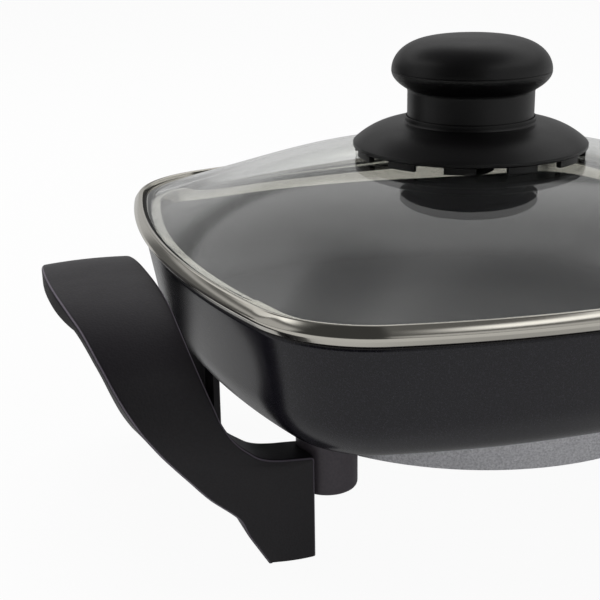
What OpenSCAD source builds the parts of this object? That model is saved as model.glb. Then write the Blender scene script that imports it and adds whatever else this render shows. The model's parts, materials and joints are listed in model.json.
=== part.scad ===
// Square electric skillet with a lift-off glass lid and a plug-in heat control.
// Millimetres, +Z up, origin on the table under the middle of the pan.
// X runs across both handles, Y from front to back.

/* [Pan] */
// Half width of the rim's outline that the band and the glass share, at the middle of a side
rim_half = 107.2; // [104:0.2:112]
// Corner radius of the pan at the rim
corner_r = 37.2; // [34:0.2:42]
// How far each side bows out between its corners
side_bow = 8; // [5:0.5:10]
// Height of the pan's rim over the table
rim_z = 82; // [80:0.5:86]
// Height of the pan's underside over the table
under_z = 42; // [40:0.5:44]
// How far the top of the wall stands out past that outline
rim_flare = 1.6; // [1:0.1:2]
// Lean of the wall: how far it moves in for each millimetre down
wall_slope = 0.18; // [0.14:0.01:0.22]
// Radius of the round foot between the wall and the underside
foot_r = 20.5; // [18:0.5:22]
// Wall thickness of the casting
wall_t = 4; // [3.4:0.1:5]
// Thickness of the cooking floor
floor_t = 4.5; // [4:0.1:6]

/* [Lid] */
// Gap between the lid and the pan's rim
lid_gap = 0.3; // [0.3:0.05:0.6]
// Height of the steel band round the glass
band_h = 6.4; // [5.6:0.1:7]
// Depth of the band's flange inside the pan
flange_h = 2.2; // [1.8:0.1:3]
// Thickness of the glass
glass_t = 3.6; // [3:0.1:4.2]
// Rise of the glass from its edge to its middle
glass_rise = 23; // [21:0.5:26]
// Shape of the dome: larger is flatter on top and steeper at the edge
dome_power = 3.1; // [2.2:0.1:3.4]
// Share of the dome, from its middle, that is round before it turns into the square of the edge
dome_round = 0.55; // [0.45:0.05:0.65]
// Radius of the hole for the knob's screw
glass_hole = 4.2; // [3.8:0.1:4.6]

/* [Knob] */
// Radius of the flared skirt of the knob
brim_r = 39.8; // [37:0.1:42]
// Radius of the neck
neck_r = 21.4; // [20:0.1:23]
// Radius of the round cap
cap_r = 26.9; // [26:0.1:28]
// Height of the cap's top over the skirt's edge
knob_h = 36.9; // [35:0.1:39]
// Number of teeth under the skirt
tooth_count = 12; // [8:1:16]
// Height of each tooth
tooth_h = 2.2; // [1.8:0.1:2.6]
// Radius of the hub under the glass
hub_r = 10; // [9:0.1:12]
// Depth of the hub under the glass
hub_h = 5; // [4.6:0.1:6]

/* [Handles] */
// Gap between the pan's rim and the inner edge of a grip, seen from above
grip_gap = 6.4; // [5:0.1:8]
// Width of a grip at its middle
grip_w = 32.4; // [30:0.2:34]
// Height of a grip's crest under the rim
grip_drop = 2.5; // [1:0.5:5]
// Shape of a strap's arch: larger is flatter on top and bends more tightly into the legs
arch_power = 2.8; // [2.4:0.1:3.4]
// Distance from the middle to the front face of a leg
leg_y = 60; // [57:0.5:64]
// Width of a foot
foot_w = 15; // [13:0.5:17]
// Depth of a leg's channel
leg_depth = 14; // [12:0.5:15]
// Depth of a grip's channel at its crest
grip_depth = 6.5; // [5.5:0.5:8]
// Depth of the strap's rim where the grip bends into a leg
lip_t = 3.4; // [3:0.1:4]
// Wall of the moulding
shell_t = 2.6; // [2.2:0.1:2.8]
// Radius of a leg's screw post
post_r = 9.5; // [9:0.1:10.5]
// Height of the rubber foot pads that shows
pad_h = 1.2; // [0.8:0.1:2]
// Radius of a rubber pad
pad_r = 4.4; // [4:0.1:5]
// Height of the collar between a post and the pan
bush_h = 3; // [2.5:0.1:4]
// Radius of the pan's screw bosses
boss_r = 5; // [4.6:0.1:5.4]
// Radius of the screws in the posts and the knob
screw_r = 2.1; // [1.9:0.1:2.4]

/* [Heater] */
// Thickness of the cast heater base
base_h = 14.5; // [13.5:0.5:15.5]
// Radius of the heating tube's turn
coil_r = 57; // [54:0.5:60]
// Radius of the heating tube
tube_r = 3.5; // [3.2:0.1:3.8]
// Radius of the terminal pins
pin_r = 2.4; // [2.2:0.1:2.6]
// Distance of each pin from the probe
pin_y = 15; // [14:0.5:16]
// Radius of the temperature probe
probe_r = 3; // [2.8:0.1:3.2]
// Reach of the probe into the base
probe_in = 40; // [36:1:42]
// Running clearance of probe and pins, each side
slip = 0.05; // [0.03:0.01:0.08]

/* [Control] */
// Half width of the control's case
case_half = 29; // [28:0.5:31]
// Height of the control's case
case_h = 35; // [33:0.5:37]
// Length of the wide part of the case
case_len = 22; // [20:0.5:23]
// Wall of the case
case_t = 2; // [1.8:0.1:2.4]
// Thickness of the case's bottom cover
cover_t = 3; // [2.6:0.1:3.6]
// Radius of the dial's shaft
shaft_r = 3; // [2.6:0.1:3.4]
// Radius of the dial
dial_r = 15.5; // [14:0.5:16]
// Thickness of the dial
dial_h = 8.6; // [7.6:0.2:9]

/* [Hidden] */
$fn = 72;

// Plan outline shared by the pan, the band and the glass
n_side = 10;
n_corner = 8;
core_half = rim_half - corner_r;
core_c = core_half - side_bow;
bow_r = (core_c * core_c + side_bow * side_bow) / (2 * side_bow);
bow_a = asin(core_c / bow_r);

function turn(p, k) = k == 0 ? p : turn([-p[1], p[0]], k - 1);
function side_point(r, a) = [core_half - bow_r + (bow_r + r) * cos(a), (bow_r + r) * sin(a)];
function corner_point(r, a) = [core_c + r * cos(a), core_c + r * sin(a)];
// Outline of half width h: four bowed sides joined by round corners, all offsets of one core
function outline(h) = [for (k = [0:3]) each concat(
    [for (i = [0:n_side - 1]) turn(side_point(h - core_half, -bow_a + 2 * bow_a * i / n_side), k)],
    [for (i = [0:n_corner - 1]) turn(corner_point(h - core_half, bow_a + (90 - 2 * bow_a) * i / n_corner), k)])];
function ring(h, z) = [for (p = outline(h)) [p[0], p[1], z]];
function mix(a, b, t) = a + (b - a) * t;
function clamp(t) = max(0, min(1, t));
function ease(t) = clamp(t) * clamp(t) * (3 - 2 * clamp(t));

// Skin over a row of rings, joined last to first or closed by flat ends.
// An end that isn't convex is given as a list of convex pieces of its ring.
module skin(rings, joined = false, end_pieces = []) {
    n = len(rings[0]);
    m = len(rings);
    last = joined ? m - 1 : m - 2;
    sides = [for (j = [0:last]) for (i = [0:n - 1])
        let (a = j * n + i, b = j * n + (i + 1) % n, c = ((j + 1) % m) * n + (i + 1) % n, d = ((j + 1) % m) * n + i)
        each [[a, c, b], [a, d, c]]];
    pieces = len(end_pieces) > 0 ? end_pieces : [[for (i = [0:n - 1]) i]];
    ends = joined ? [] : [for (q = pieces) each [q, [for (i = [len(q) - 1:-1:0]) (m - 1) * n + q[i]]]];
    polyhedron(points = [for (r = rings) each r], faces = concat(sides, ends));
}

// Heights of the cooking floor, the grips, the ledges and the heater base
floor_z = under_z + floor_t;
grip_z = rim_z - grip_drop;
ledge_z = under_z - 7.6;
base_z = under_z - base_h;
// The lid's bottom, the seat of the glass and the top of the glass edge
lid_z = rim_z + lid_gap;
seat_z = lid_z + 1.1;
glass_half = rim_half - 0.3;
wall_top = rim_half + rim_flare;
glass_edge_z = seat_z + 0.4 + glass_t;
function dome_z(s) = glass_edge_z + glass_rise * (1 - pow(s, dome_power));
// Knob heights: the skirt's edge stands on its teeth on the glass
tooth_out = brim_r - 0.7;
tooth_in = brim_r - 2.6;
brim_z = dome_z(tooth_in / glass_half) + 0.1 + tooth_h;
knob_top = brim_z + knob_h;
neck_z = brim_z + 6.8;
// Height of the cap's widest circle, and the collar that stands round the neck
wide_z = knob_top - 11.3;
collar_r = neck_r + 0.7;
collar_z = neck_z + 3.5;
// Rise of the skirt from its edge to the collar, the part of it that is dome, and the turn of its first tooth
skirt_rise = 8.2;
skirt_dome = 6.6;
tooth_turn = 51.5;
hub_z = dome_z(hub_r / glass_half) - glass_t - 0.6;
// Handle lines, tied to the rim
grip_in = rim_half + grip_gap;
grip_out = grip_in + grip_w;
leg_in = rim_half - 28.2;
arch_low = under_z - 12;
post_x = leg_in - 7.4;
post_y = leg_y - 10;
post_low = under_z - 22;
boss_low = under_z - 8;
// Depth of a screw's head in its post, and the peg that holds a rubber pad
screw_sink = 8;
peg_r = 2;
peg_h = 4;
// Right side: the heater's terminals and the control
base_r = rim_half - 26.7;
block_x = base_r + 7.5;
heat_z = base_z + 4;
probe_z = base_z + 6.6;
guard_x = block_x + 20;
guard_half = pin_y + 12;
guard_low = base_z - 6;
nose_x = block_x + 5;
case_x = guard_x + 2;
case_mid = base_z + 3.5;
case_low = case_mid - case_h / 2;
case_out = case_x + case_len;
dial_z = case_low + cover_t + dial_r + 1;

// Turns a piece drawn along Z so that it runs along +X
module along_x(x, y, z) {
    translate([x, y, z])
        rotate([0, 90, 0])
            children();
}

module at_posts() {
    for (sx = [-1, 1], sy = [-1, 1])
        translate([sx * post_x, sy * post_y, 0])
            children();
}

module at_pins(x) {
    for (s = [-1, 1])
        along_x(x, s * pin_y, heat_z)
            children();
}

// Cast pan: a leaning bowed-square bowl with a thick rim
module pan() {
    lean_a = atan(wall_slope);
    // Half width of the foot's flat part, where the round begins
    foot_half = wall_top - wall_slope * (rim_z - under_z - foot_r) - foot_r / cos(lean_a);
    function foot_ring(r, a) = ring(foot_half + r * cos(a), under_z + foot_r - r * sin(a));
    outer = concat(
        [for (a = [90, 76, 62, 48, 34, 21, lean_a]) foot_ring(foot_r, a)],
        [ring(wall_top - 0.2, rim_z - 1.2), ring(wall_top - 0.5, rim_z - 0.4), ring(wall_top - 1.1, rim_z)]);
    inner = concat(
        [ring(wall_top - wall_t + 0.4, rim_z), ring(wall_top - wall_t, rim_z - 0.4)],
        [for (a = [lean_a, 22, 38, 54, 72, 90]) foot_ring(foot_r - floor_t, a)]);
    color("#26252a") difference() {
        union() {
            skin(concat(outer, inner));
            at_posts()
                translate([0, 0, boss_low])
                    cylinder(r = boss_r, h = under_z + 1 - boss_low);
        }
        at_posts()
            translate([0, 0, boss_low - 1])
                cylinder(r = screw_r, h = 9);
    }
}

// Heating tube's line: a wide turn, a bend outwards at each end and two straight legs along X
coil_bend = tube_r * 4;
coil_a = asin((pin_y + coil_bend) / (coil_r + coil_bend));
coil_x = (coil_r + coil_bend) * cos(coil_a);
tube_end = block_x + 3;
tube_sides = 12;
// Stations of the tube: [x, y, direction of travel]
half_tube = concat(
    [[tube_end, pin_y, 180]],
    [for (a = [270:-11:181 + coil_a])
        [coil_x + coil_bend * cos(a), pin_y + coil_bend + coil_bend * sin(a), a - 90]],
    [for (a = [coil_a:6:179]) [coil_r * cos(a), coil_r * sin(a), a + 90]]);
tube_line = concat(half_tube, [[-coil_r, 0, 270]],
    [for (i = [len(half_tube) - 1:-1:0]) let (s = half_tube[i]) [s[0], -s[1], 540 - s[2]]]);
// Pocket in the base where the tube bends out to its legs
pocket_x = coil_r * cos(coil_a) - 2 * tube_r;
pocket_y = pin_y - tube_r - 0.4;
pocket_w = coil_r * sin(coil_a) + tube_r + 1 - pocket_y;
pocket_z = heat_z + tube_r + 0.4;
function tube_ring(s) = [for (k = [0:tube_sides - 1]) let (b = 360 * k / tube_sides)
    [s[0] - tube_r * cos(b) * sin(s[2]), s[1] + tube_r * cos(b) * cos(s[2]), heat_z + tube_r * sin(b)]];

// Cast aluminium base that holds the heating tube and the probe
module base_casting() {
    skirt = [[0, base_z + 1.5], [coil_r - 14, base_z + 1.5], [coil_r - 12, base_z], [base_r - 1.6, base_z],
        [base_r - 0.5, base_z + 0.5], [base_r, base_z + 1.8], [base_r + 1.6, under_z - 3.4],
        [base_r + 2.6, under_z - 1.2], [base_r + 4.4, under_z], [0, under_z]];
    color("#a9a9a8") difference() {
        union() {
            rotate_extrude()
                polygon(skirt);
            translate([base_r - 12, -9, base_z + 1])
                cube([block_x - base_r + 12, 18, base_h - 2.4]);
        }
        translate([0, 0, heat_z])
            rotate_extrude(angle = 360 - 2 * coil_a, start = coil_a)
                translate([coil_r, 0]) {
                    circle(r = tube_r);
                    translate([-tube_r * 0.7, base_z - 1 - heat_z])
                        square([tube_r * 1.4, heat_z - base_z + 1]);
                }
        for (s = [0, 1])
            mirror([0, s, 0])
                translate([pocket_x, pocket_y, base_z - 1])
                    cube([tube_end - pocket_x, pocket_w, pocket_z - base_z + 1]);
        along_x(block_x - probe_in - 5, 0, probe_z)
            cylinder(r = probe_r + slip, h = probe_in + 6);
        for (s = [-1, 1])
            along_x(block_x - 9, s * 6.6, heat_z + 0.6)
                cylinder(r = 1.2, h = 10);
        at_posts()
            translate([0, 0, base_z - 1])
                cylinder(r = post_r + 0.8, h = base_h + 2);
    }
}

module heating_tube() {
    color("#6e6a66")
        skin([for (s = tube_line) tube_ring(s)]);
}

module terminal_pins() {
    color("#c9c9cc") at_pins(block_x + 3) {
        cylinder(r = pin_r, h = 14);
        translate([0, 0, 14])
            cylinder(r1 = pin_r, r2 = pin_r - 0.8, h = 1);
    }
}

// Ceramic collars where the pins pass the guard
module pin_insulators() {
    color("#e7e1d4") at_pins(block_x + 3) difference() {
        cylinder(r = 5.4, h = 1.6);
        translate([0, 0, -1])
            cylinder(r = pin_r, h = 5);
    }
}

// Sheet-metal socket round the pins, open to the right
module terminal_guard() {
    t = 1.2;
    h = under_z - guard_low;
    color("#8f9092") difference() {
        translate([block_x, -guard_half, guard_low])
            cube([guard_x - block_x, 2 * guard_half, h]);
        translate([block_x + 3, -guard_half + t, guard_low + t])
            cube([guard_x, 2 * guard_half - 2 * t, h - 2 * t]);
        at_pins(block_x - 1)
            cylinder(r = tube_r + 0.1, h = 5);
        along_x(block_x - 1, 0, probe_z)
            cylinder(r = probe_r + 1, h = 6);
        for (s = [-1, 1])
            along_x(block_x - 1, s * 6.6, heat_z + 0.6)
                cylinder(r = 1.3, h = 6);
    }
}

module guard_screws() {
    color("#b9bbbd") for (s = [-1, 1])
        along_x(block_x + 3, s * 6.6, heat_z + 0.6) difference() {
            union() {
                cylinder(r = 2.4, h = 1.2);
                translate([0, 0, -10])
                    cylinder(r = 1.2, h = 10.5);
            }
            translate([-0.35, -2, 0.7])
                cube([0.7, 4, 1]);
        }
}

// Width lines of a handle against height: outer edge and inner edge
outer_line = [[0, 0], [0.091, 0.07], [0.145, 0.119], [0.229, 0.177], [0.253, 0.219], [0.286, 0.277], [0.32, 0.335],
    [0.359, 0.39], [0.401, 0.444], [0.463, 0.525], [0.526, 0.604], [0.571, 0.654], [0.618, 0.704], [0.67, 0.75],
    [0.723, 0.792], [0.78, 0.831], [0.835, 0.865], [0.878, 0.892], [0.913, 0.912], [0.946, 0.936], [0.971, 0.961],
    [0.993, 0.985], [1, 1]];
inner_line = [[0, 0], [0.009, 0.139], [0.022, 0.321], [0.035, 0.41], [0.06, 0.497], [0.109, 0.584], [0.166, 0.668],
    [0.228, 0.734], [0.295, 0.786], [0.47, 0.868], [0.636, 0.934], [0.763, 0.974], [0.865, 0.996], [0.945, 1], [1, 1]];
function strap_out(z) = mix(leg_in + foot_w, grip_out, lookup(z / grip_z, outer_line));
function strap_in(z) = z < ledge_z ? leg_in : mix(leg_in, grip_in, lookup((z - ledge_z) / (grip_z - ledge_z), inner_line));
// Depth of the strap: deep at the leg, a thin rim at the bend, and a flat underside below the crest
function strap_depth(z) = max(z - grip_z + grip_depth,
    mix(leg_depth, lip_t, ease((z - ledge_z - 4) / (grip_z - grip_depth - ledge_z - 8))));

// Arch of a strap: a superellipse from the leg's face up to the grip's crest
function arch_share(t) = pow(1 - pow(clamp(t), arch_power), 1 / arch_power);
function arch_y(z) = -leg_y * arch_share((z - arch_low) / (grip_z - arch_low));
function arch_z(y) = arch_low + (grip_z - arch_low) * arch_share(-y / leg_y);
// One station of a strap: [y, z, inner normal y, inner normal z]
function strap_at(y, z) = let (
        ny = pow(clamp(-y / leg_y), arch_power - 1) / leg_y,
        nz = pow(clamp((z - arch_low) / (grip_z - arch_low)), arch_power - 1) / (grip_z - arch_low),
        d = norm([ny, nz]))
    [y, z, ny / d, -nz / d];
leg_stops = [0, 0.14, 0.3, 0.42, 0.53, 0.58, 0.65, 0.74, 0.83, 0.93, 0.985, 1];
ledge_stops = [0.009, 0.022, 0.035, 0.06, 0.085, 0.109, 0.166, 0.228, 0.295, 0.38, 0.47, 0.56, 0.636, 0.7, 0.763];
crest_stops = [0.71, 0.64, 0.56, 0.46, 0.35, 0.23, 0.11];
half_strap = concat(
    [for (t = leg_stops) let (z = mix(pad_h, ledge_z, t)) strap_at(arch_y(z), z)],
    [for (t = ledge_stops) let (z = mix(ledge_z, grip_z, t)) strap_at(arch_y(z), z)],
    [for (t = crest_stops) strap_at(-leg_y * t, arch_z(-leg_y * t))]);
n_half = len(half_strap);
strap = concat(half_strap, [[0, grip_z, 0, -1]],
    [for (i = [n_half - 1:-1:0]) let (s = half_strap[i]) [-s[0], s[1], -s[2], s[3]]]);

// Channel section of the strap: crowned face, rounded edges, hollow inside
function strap_section(s) = let (z = s[1], xo = -strap_out(z), xi = -strap_in(z), d = strap_depth(z),
        w = shell_t, r = 1.6, c = 0.5,
        flat = [[xo, d], [xo, r], [xo + 0.3 * r, 0.3 * r], [xo + r, 0], [mix(xo, xi, 0.35), -c],
            [mix(xo, xi, 0.65), -c], [xi - r, 0], [xi - 0.3 * r, 0.3 * r], [xi, r], [xi, d],
            [xi - w, d], [xi - w, w], [xo + w, w], [xo + w, d]])
    [for (p = flat) [p[0], s[0] + p[1] * s[2], s[1] + p[1] * s[3]]];

// The channel section's outer side, face and inner side
channel_ends = [[0, 1, 2, 3, 12, 13], [3, 4, 5, 6, 11, 12], [6, 7, 8, 9, 10, 11]];

// One handle: a wide strap from leg to leg with a screw post behind each leg
module handle_left() {
    plug = 7;
    difference() {
        union() {
            skin([for (s = strap) strap_section(s)], end_pieces = channel_ends);
            for (sy = [-1, 1]) {
                translate([-post_x, sy * post_y, post_low])
                    cylinder(r = post_r, h = under_z - bush_h - post_low);
                translate([-leg_in - foot_w + 1.5, sy * (leg_y - leg_depth / 2) - leg_depth / 2 + 0.8, pad_h])
                    cube([foot_w - 3, leg_depth - 1.6, plug]);
            }
        }
        for (sy = [-1, 1]) {
            translate([-post_x, sy * post_y, post_low - 1]) {
                cylinder(r = screw_r + 0.3, h = 40);
                cylinder(r = screw_r + 2.6, h = screw_sink + 1);
            }
            translate([-post_x, sy * post_y, boss_low - 0.2])
                cylinder(r = boss_r + 0.2, h = 20);
            translate([-leg_in - foot_w / 2, sy * (leg_y - leg_depth / 2), pad_h - 1])
                cylinder(r = peg_r, h = peg_h + 1);
        }
    }
}

module left_handle() {
    color("#1d1d1e")
        handle_left();
}

module right_handle() {
    color("#1d1d1e") mirror([1, 0, 0])
        handle_left();
}

// Heat-resistant collars between the posts and the pan
module post_bushings() {
    color("#151516") at_posts()
        translate([0, 0, under_z - bush_h]) difference() {
            cylinder(r = post_r - 0.4, h = bush_h);
            translate([0, 0, -1])
                cylinder(r = boss_r + 0.2, h = bush_h + 2);
        }
}

module handle_screws() {
    color("#b9bbbd") at_posts()
        translate([0, 0, post_low + screw_sink]) difference() {
            union() {
                translate([0, 0, -2.4])
                    cylinder(r = screw_r + 2, h = 2.4);
                cylinder(r = screw_r, h = boss_low + 6 - post_low - screw_sink);
            }
            for (a = [0, 90])
                rotate([0, 0, a])
                    translate([-2.6, -0.5, -3])
                        cube([5.2, 1, 1.8]);
        }
}

module foot_pads() {
    color("#2b2b2b") for (sx = [-1, 1], sy = [-1, 1])
        translate([sx * (leg_in + foot_w / 2), sy * (leg_y - leg_depth / 2), 0]) {
            cylinder(r = pad_r, h = pad_h);
            cylinder(r = peg_r, h = pad_h + peg_h);
        }
}

// Domed glass: the pan's outline at the edge, a round hole in the middle
module lid_glass() {
    steps = [1, 0.985, 0.95, 0.88, 0.78, 0.64, 0.48, 0.3, 0.14];
    function shape(s) = pow(clamp((s - dome_round) / (1 - dome_round)), 3);
    low = glass_half - 1.2;
    function dome_ring(s, drop) = [for (p = outline(glass_half))
        let (q = s * glass_half * p / norm(p), e = s * p, t = shape(s))
        [mix(q[0], e[0], t), mix(q[1], e[1], t), dome_z(s) - drop]];
    hole_s = glass_hole / glass_half;
    upper = [for (s = steps) dome_ring(s, 0)];
    under = [for (i = [len(steps) - 1:-1:1]) dome_ring(steps[i], glass_t)];
    color("#9fa8a8", 0.35) skin(concat(
        [ring(low, seat_z), ring(glass_half, seat_z + 0.8)],
        upper,
        [dome_ring(hole_s, 0), dome_ring(hole_s, glass_t)],
        under), joined = true);
}

// Steel band: a rounded outer face that leans in to its top edge, a seat for the glass and a locating flange inside the rim
module lid_band() {
    b = lid_z;
    h = band_h / 6.4;
    section = [[rim_half + 1.4, b], [rim_half + 2.4, b + 0.4 * h], [rim_half + 4.1, b + 2.3 * h],
        [rim_half + 4.3, b + 2.9 * h], [rim_half + 3.1, b + 5.7 * h], [rim_half + 2.3, b + 6.4 * h],
        [rim_half + 1.3, b + 6.1 * h], [rim_half + 0.6, b + 5 * h], [rim_half + 0.4, b + 3 * h],
        [rim_half, seat_z], [rim_half - 6.4, seat_z], [rim_half - 7, b - flange_h],
        [rim_half - 6.2, b - flange_h], [rim_half - 5.4, b]];
    color("#b8b2aa")
        skin([for (p = section) ring(p[0], p[1])], joined = true);
}

// Clear seal bead between the band and the glass
module glass_seal() {
    color("#3a3a3a")
        skin([ring(rim_half - 0.3, seat_z + 1), ring(rim_half + 0.1, seat_z + 1.2), ring(rim_half + 0.3, glass_edge_z - 1),
            ring(rim_half - 0.1, glass_edge_z - 0.6), ring(rim_half - 0.3, glass_edge_z - 0.8)], joined = true);
}

function arc_line(cx, cz, rx, rz, a0, a1, n) =
    [for (i = [0:n]) let (a = mix(a0, a1, i / n)) [cx + rx * cos(a), cz + rz * sin(a)]];

// Cap and neck of the knob: the cap is a flattened ball over its widest circle and a curve in to the neck below it
module knob_cap() {
    under = neck_z + 1.6;
    drop = sqrt((cap_r - neck_r) / 0.142);
    neck = [[0, neck_z - 1], [neck_r - 3, neck_z - 1], [neck_r - 3, under], [neck_r, under],
        [neck_r, wide_z - drop - 0.8], [neck_r + 0.2, wide_z - drop - 0.1]];
    curve = [for (t = [0.94, 0.86, 0.75, 0.6, 0.42, 0.22, 0]) [cap_r - (cap_r - neck_r) * t * t, wide_z - drop * t]];
    crown = [for (a = [8, 16, 25, 34, 43, 52, 61, 69, 76, 82, 87, 90]) [cap_r * pow(cos(a), 0.58), mix(wide_z, knob_top, sin(a))]];
    color("#232324") difference() {
        rotate_extrude()
            polygon(concat(neck, curve, crown));
        translate([0, 0, neck_z - 2])
            cylinder(r = screw_r, h = 18);
    }
}

// Height of the skirt's upper face: a shallow dome that falls away more steeply towards its edge
function skirt_z(r) = brim_z + skirt_rise - skirt_dome * pow((r - collar_r) / (brim_r - collar_r), 2.4);

// Domed skirt of the knob with its collar and its ring of teeth
module knob_brim() {
    skin_t = 1.9;
    mid_r = (collar_r + brim_r) / 2;
    below = [[glass_hole - 0.4, brim_z + 4.3], [neck_r - 3, brim_z + 4.3], [collar_r + 4, skirt_z(collar_r + 4) - skin_t],
        [mid_r + 2, skirt_z(mid_r + 2) - skin_t], [brim_r - 2.8, skirt_z(brim_r - 2.8) - skin_t],
        [brim_r - 1.3, brim_z + 0.3], [brim_r - 0.6, brim_z]];
    edge = [[brim_r, brim_z + 0.4], [brim_r, brim_z + 1.2]];
    above = [for (t = [0.99, 0.94, 0.87, 0.76, 0.62, 0.45, 0.27, 0.05]) let (r = mix(collar_r, brim_r, t)) [r, skirt_z(r)]];
    collar = [[collar_r, skirt_z(collar_r) + 0.5], [collar_r, collar_z - 0.4], [collar_r - 0.2, collar_z],
        [neck_r + 0.1, collar_z - 0.1], [neck_r + 0.1, neck_z + 1.5], [neck_r - 2.9, neck_z + 1.5],
        [neck_r - 2.9, neck_z - 1], [glass_hole - 0.4, neck_z - 1]];
    color("#232324") {
        rotate_extrude()
            polygon(concat(below, edge, above, collar));
        for (i = [0:tooth_count - 1])
            rotate([0, 0, 360 * i / tooth_count + tooth_turn])
                rotate_extrude(angle = 180 / tooth_count)
                    translate([tooth_in, brim_z - tooth_h])
                        square([tooth_out - tooth_in, tooth_h + 1.3]);
    }
}

// Soft washer between the knob and the glass
module knob_seal() {
    color("#111111") difference() {
        translate([0, 0, dome_z(0.14) + 0.1])
            cylinder(r = glass_hole + 7, h = brim_z + 4.3 - dome_z(0.14) - 0.1);
        cylinder(r = glass_hole - 0.4, h = 300);
    }
}

// Small hub clamped under the glass, with a recess for the screw's head
module knob_hub() {
    color("#19191a")
        rotate_extrude()
            polygon([[screw_r + 0.3, hub_z], [hub_r - 0.6, hub_z], [hub_r, hub_z - 0.7], [hub_r - 0.2, hub_z - hub_h / 2],
                [hub_r - 1.4, hub_z - hub_h + 0.5], [hub_r - 2.4, hub_z - hub_h], [6, hub_z - hub_h], [5.4, hub_z - hub_h + 3.4],
                [screw_r + 0.3, hub_z - hub_h + 3.4]]);
}

module knob_screw() {
    low = hub_z - hub_h + 3.4;
    color("#c4c5c7") difference() {
        union() {
            translate([0, 0, low - 2.2])
                cylinder(r = 4.6, h = 2.2);
            translate([0, 0, low])
                cylinder(r = screw_r, h = neck_z + 12 - low);
        }
        translate([-5, -0.5, low - 3])
            cube([10, 1, 1.7]);
    }
}

// Rounded box drawn in Y and Z and run along X
module case_bar(x, len, half, low, high, r) {
    translate([x, 0, 0])
        rotate([90, 0, 90])
            linear_extrude(len) {
                translate([-half + r, low])
                    square([2 * half - 2 * r, high - low]);
                translate([-half, low + r])
                    square([2 * half, high - low - 2 * r]);
                for (s = [-1, 1], z = [low + r, high - r])
                    translate([s * (half - r), z])
                        circle(r = r);
            }
}

case_high = case_low + case_h;
nose_low = guard_low + 2.2;
nose_high = under_z - 2.2;
nose_half = guard_half - 2.2;

// Case of the control: a nose that enters the guard and a wider body
module control_case() {
    color("#202021") difference() {
        union() {
            case_bar(nose_x, case_x - nose_x + 1, nose_half, nose_low, nose_high, 3);
            case_bar(case_x, case_len, case_half, case_low, case_high, 6);
        }
        translate([nose_x + 3, -nose_half + case_t, nose_low + case_t])
            cube([case_x - nose_x, 2 * nose_half - 2 * case_t, nose_high - nose_low - 2 * case_t]);
        case_bar(case_x + case_t, case_len - 2 * case_t, case_half - case_t, case_low - 9, case_high - case_t, 4);
        translate([case_x - 1, -case_half - 1, case_low - 1])
            cube([case_len + 2, 2 * case_half + 2, cover_t + 1]);
        at_pins(nose_x - 1)
            cylinder(r = pin_r + 1, h = 6);
        along_x(nose_x - 1, 0, probe_z)
            cylinder(r = probe_r, h = 6);
        along_x(case_out - 4, 0, dial_z)
            cylinder(r = shaft_r + slip, h = 8);
        translate([case_x + 9, -13, case_high - 4])
            cylinder(r = 2.6, h = 8);
        translate([case_x + case_len / 2, case_half - 4, case_mid])
            rotate([-90, 0, 0])
                cylinder(r = 4, h = 8);
    }
}

module at_cover_screws() {
    for (s = [-1, 1])
        translate([case_x + case_len / 2, s * (case_half - 8), 0])
            children();
}

// Bottom cover of the case with two screw pillars
module control_cover() {
    color("#202021") difference() {
        union() {
            intersection() {
                case_bar(case_x, case_len, case_half, case_low, case_high, 6);
                translate([case_x - 1, -case_half - 1, case_low - 1])
                    cube([case_len + 2, 2 * case_half + 2, cover_t + 1]);
            }
            at_cover_screws()
                translate([0, 0, case_low + 1])
                    cylinder(r = 3.4, h = case_h - case_t - 1);
        }
        at_cover_screws() {
            translate([0, 0, case_low - 1])
                cylinder(r = 1.3, h = 12);
            translate([0, 0, case_low - 1])
                cylinder(r = 2.8, h = 2.6);
        }
    }
}

module cover_screws() {
    color("#b9bbbd") at_cover_screws()
        translate([0, 0, case_low]) difference() {
            union() {
                translate([0, 0, 0.2])
                    cylinder(r = 2.5, h = 1.4);
                translate([0, 0, 1.5])
                    cylinder(r = 1.3, h = 8);
            }
            translate([-2, -0.35, -0.5])
                cube([4, 0.7, 1.3]);
        }
}

// Temperature probe: a thin tube with a round tip
module probe() {
    color("#d0d1d3") along_x(block_x - probe_in, 0, probe_z) {
        sphere(r = probe_r);
        cylinder(r = probe_r, h = nose_x + 14 - block_x + probe_in);
    }
}

module contact_sleeves() {
    color("#b8924a") at_pins(nose_x) difference() {
        cylinder(r = pin_r + 1, h = 14);
        translate([0, 0, -1])
            cylinder(r = pin_r + slip, h = 16);
    }
}

// Bushing where a cord would leave the case
module cord_gland() {
    color("#161617") translate([case_x + case_len / 2, case_half - case_t - 1, case_mid])
        rotate([-90, 0, 0]) difference() {
            union() {
                cylinder(r = 4, h = case_t + 1.5);
                translate([0, 0, case_t + 1])
                    cylinder(r = 5.4, h = 3);
            }
            translate([0, 0, -1])
                cylinder(r = 2.5, h = 9);
        }
}

module lamp_lens() {
    color("#c4372a") translate([case_x + 9, -13, case_high - case_t]) {
        cylinder(r = 2.6, h = case_t + 0.6);
        translate([0, 0, case_t + 0.6])
            cylinder(r1 = 2.6, r2 = 1.6, h = 0.9);
    }
}

module pilot_lamp() {
    color("#e9d9c0") translate([case_x + 9, -13, case_high - case_t - 7])
        cylinder(r = 1.9, h = 7);
}

// Bracket that carries the switch inside the case
module thermostat_frame() {
    color("#9b9c9e") difference() {
        union() {
            translate([case_x + case_t, -10, case_low + cover_t])
                cube([case_len - 2 * case_t - 3, 20, 1.2]);
            translate([case_x + case_t, -10, case_low + cover_t])
                cube([1.2, 20, probe_z + 6 - case_low - cover_t]);
        }
        along_x(case_x, 0, probe_z)
            cylinder(r = probe_r, h = 6);
    }
}

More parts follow.
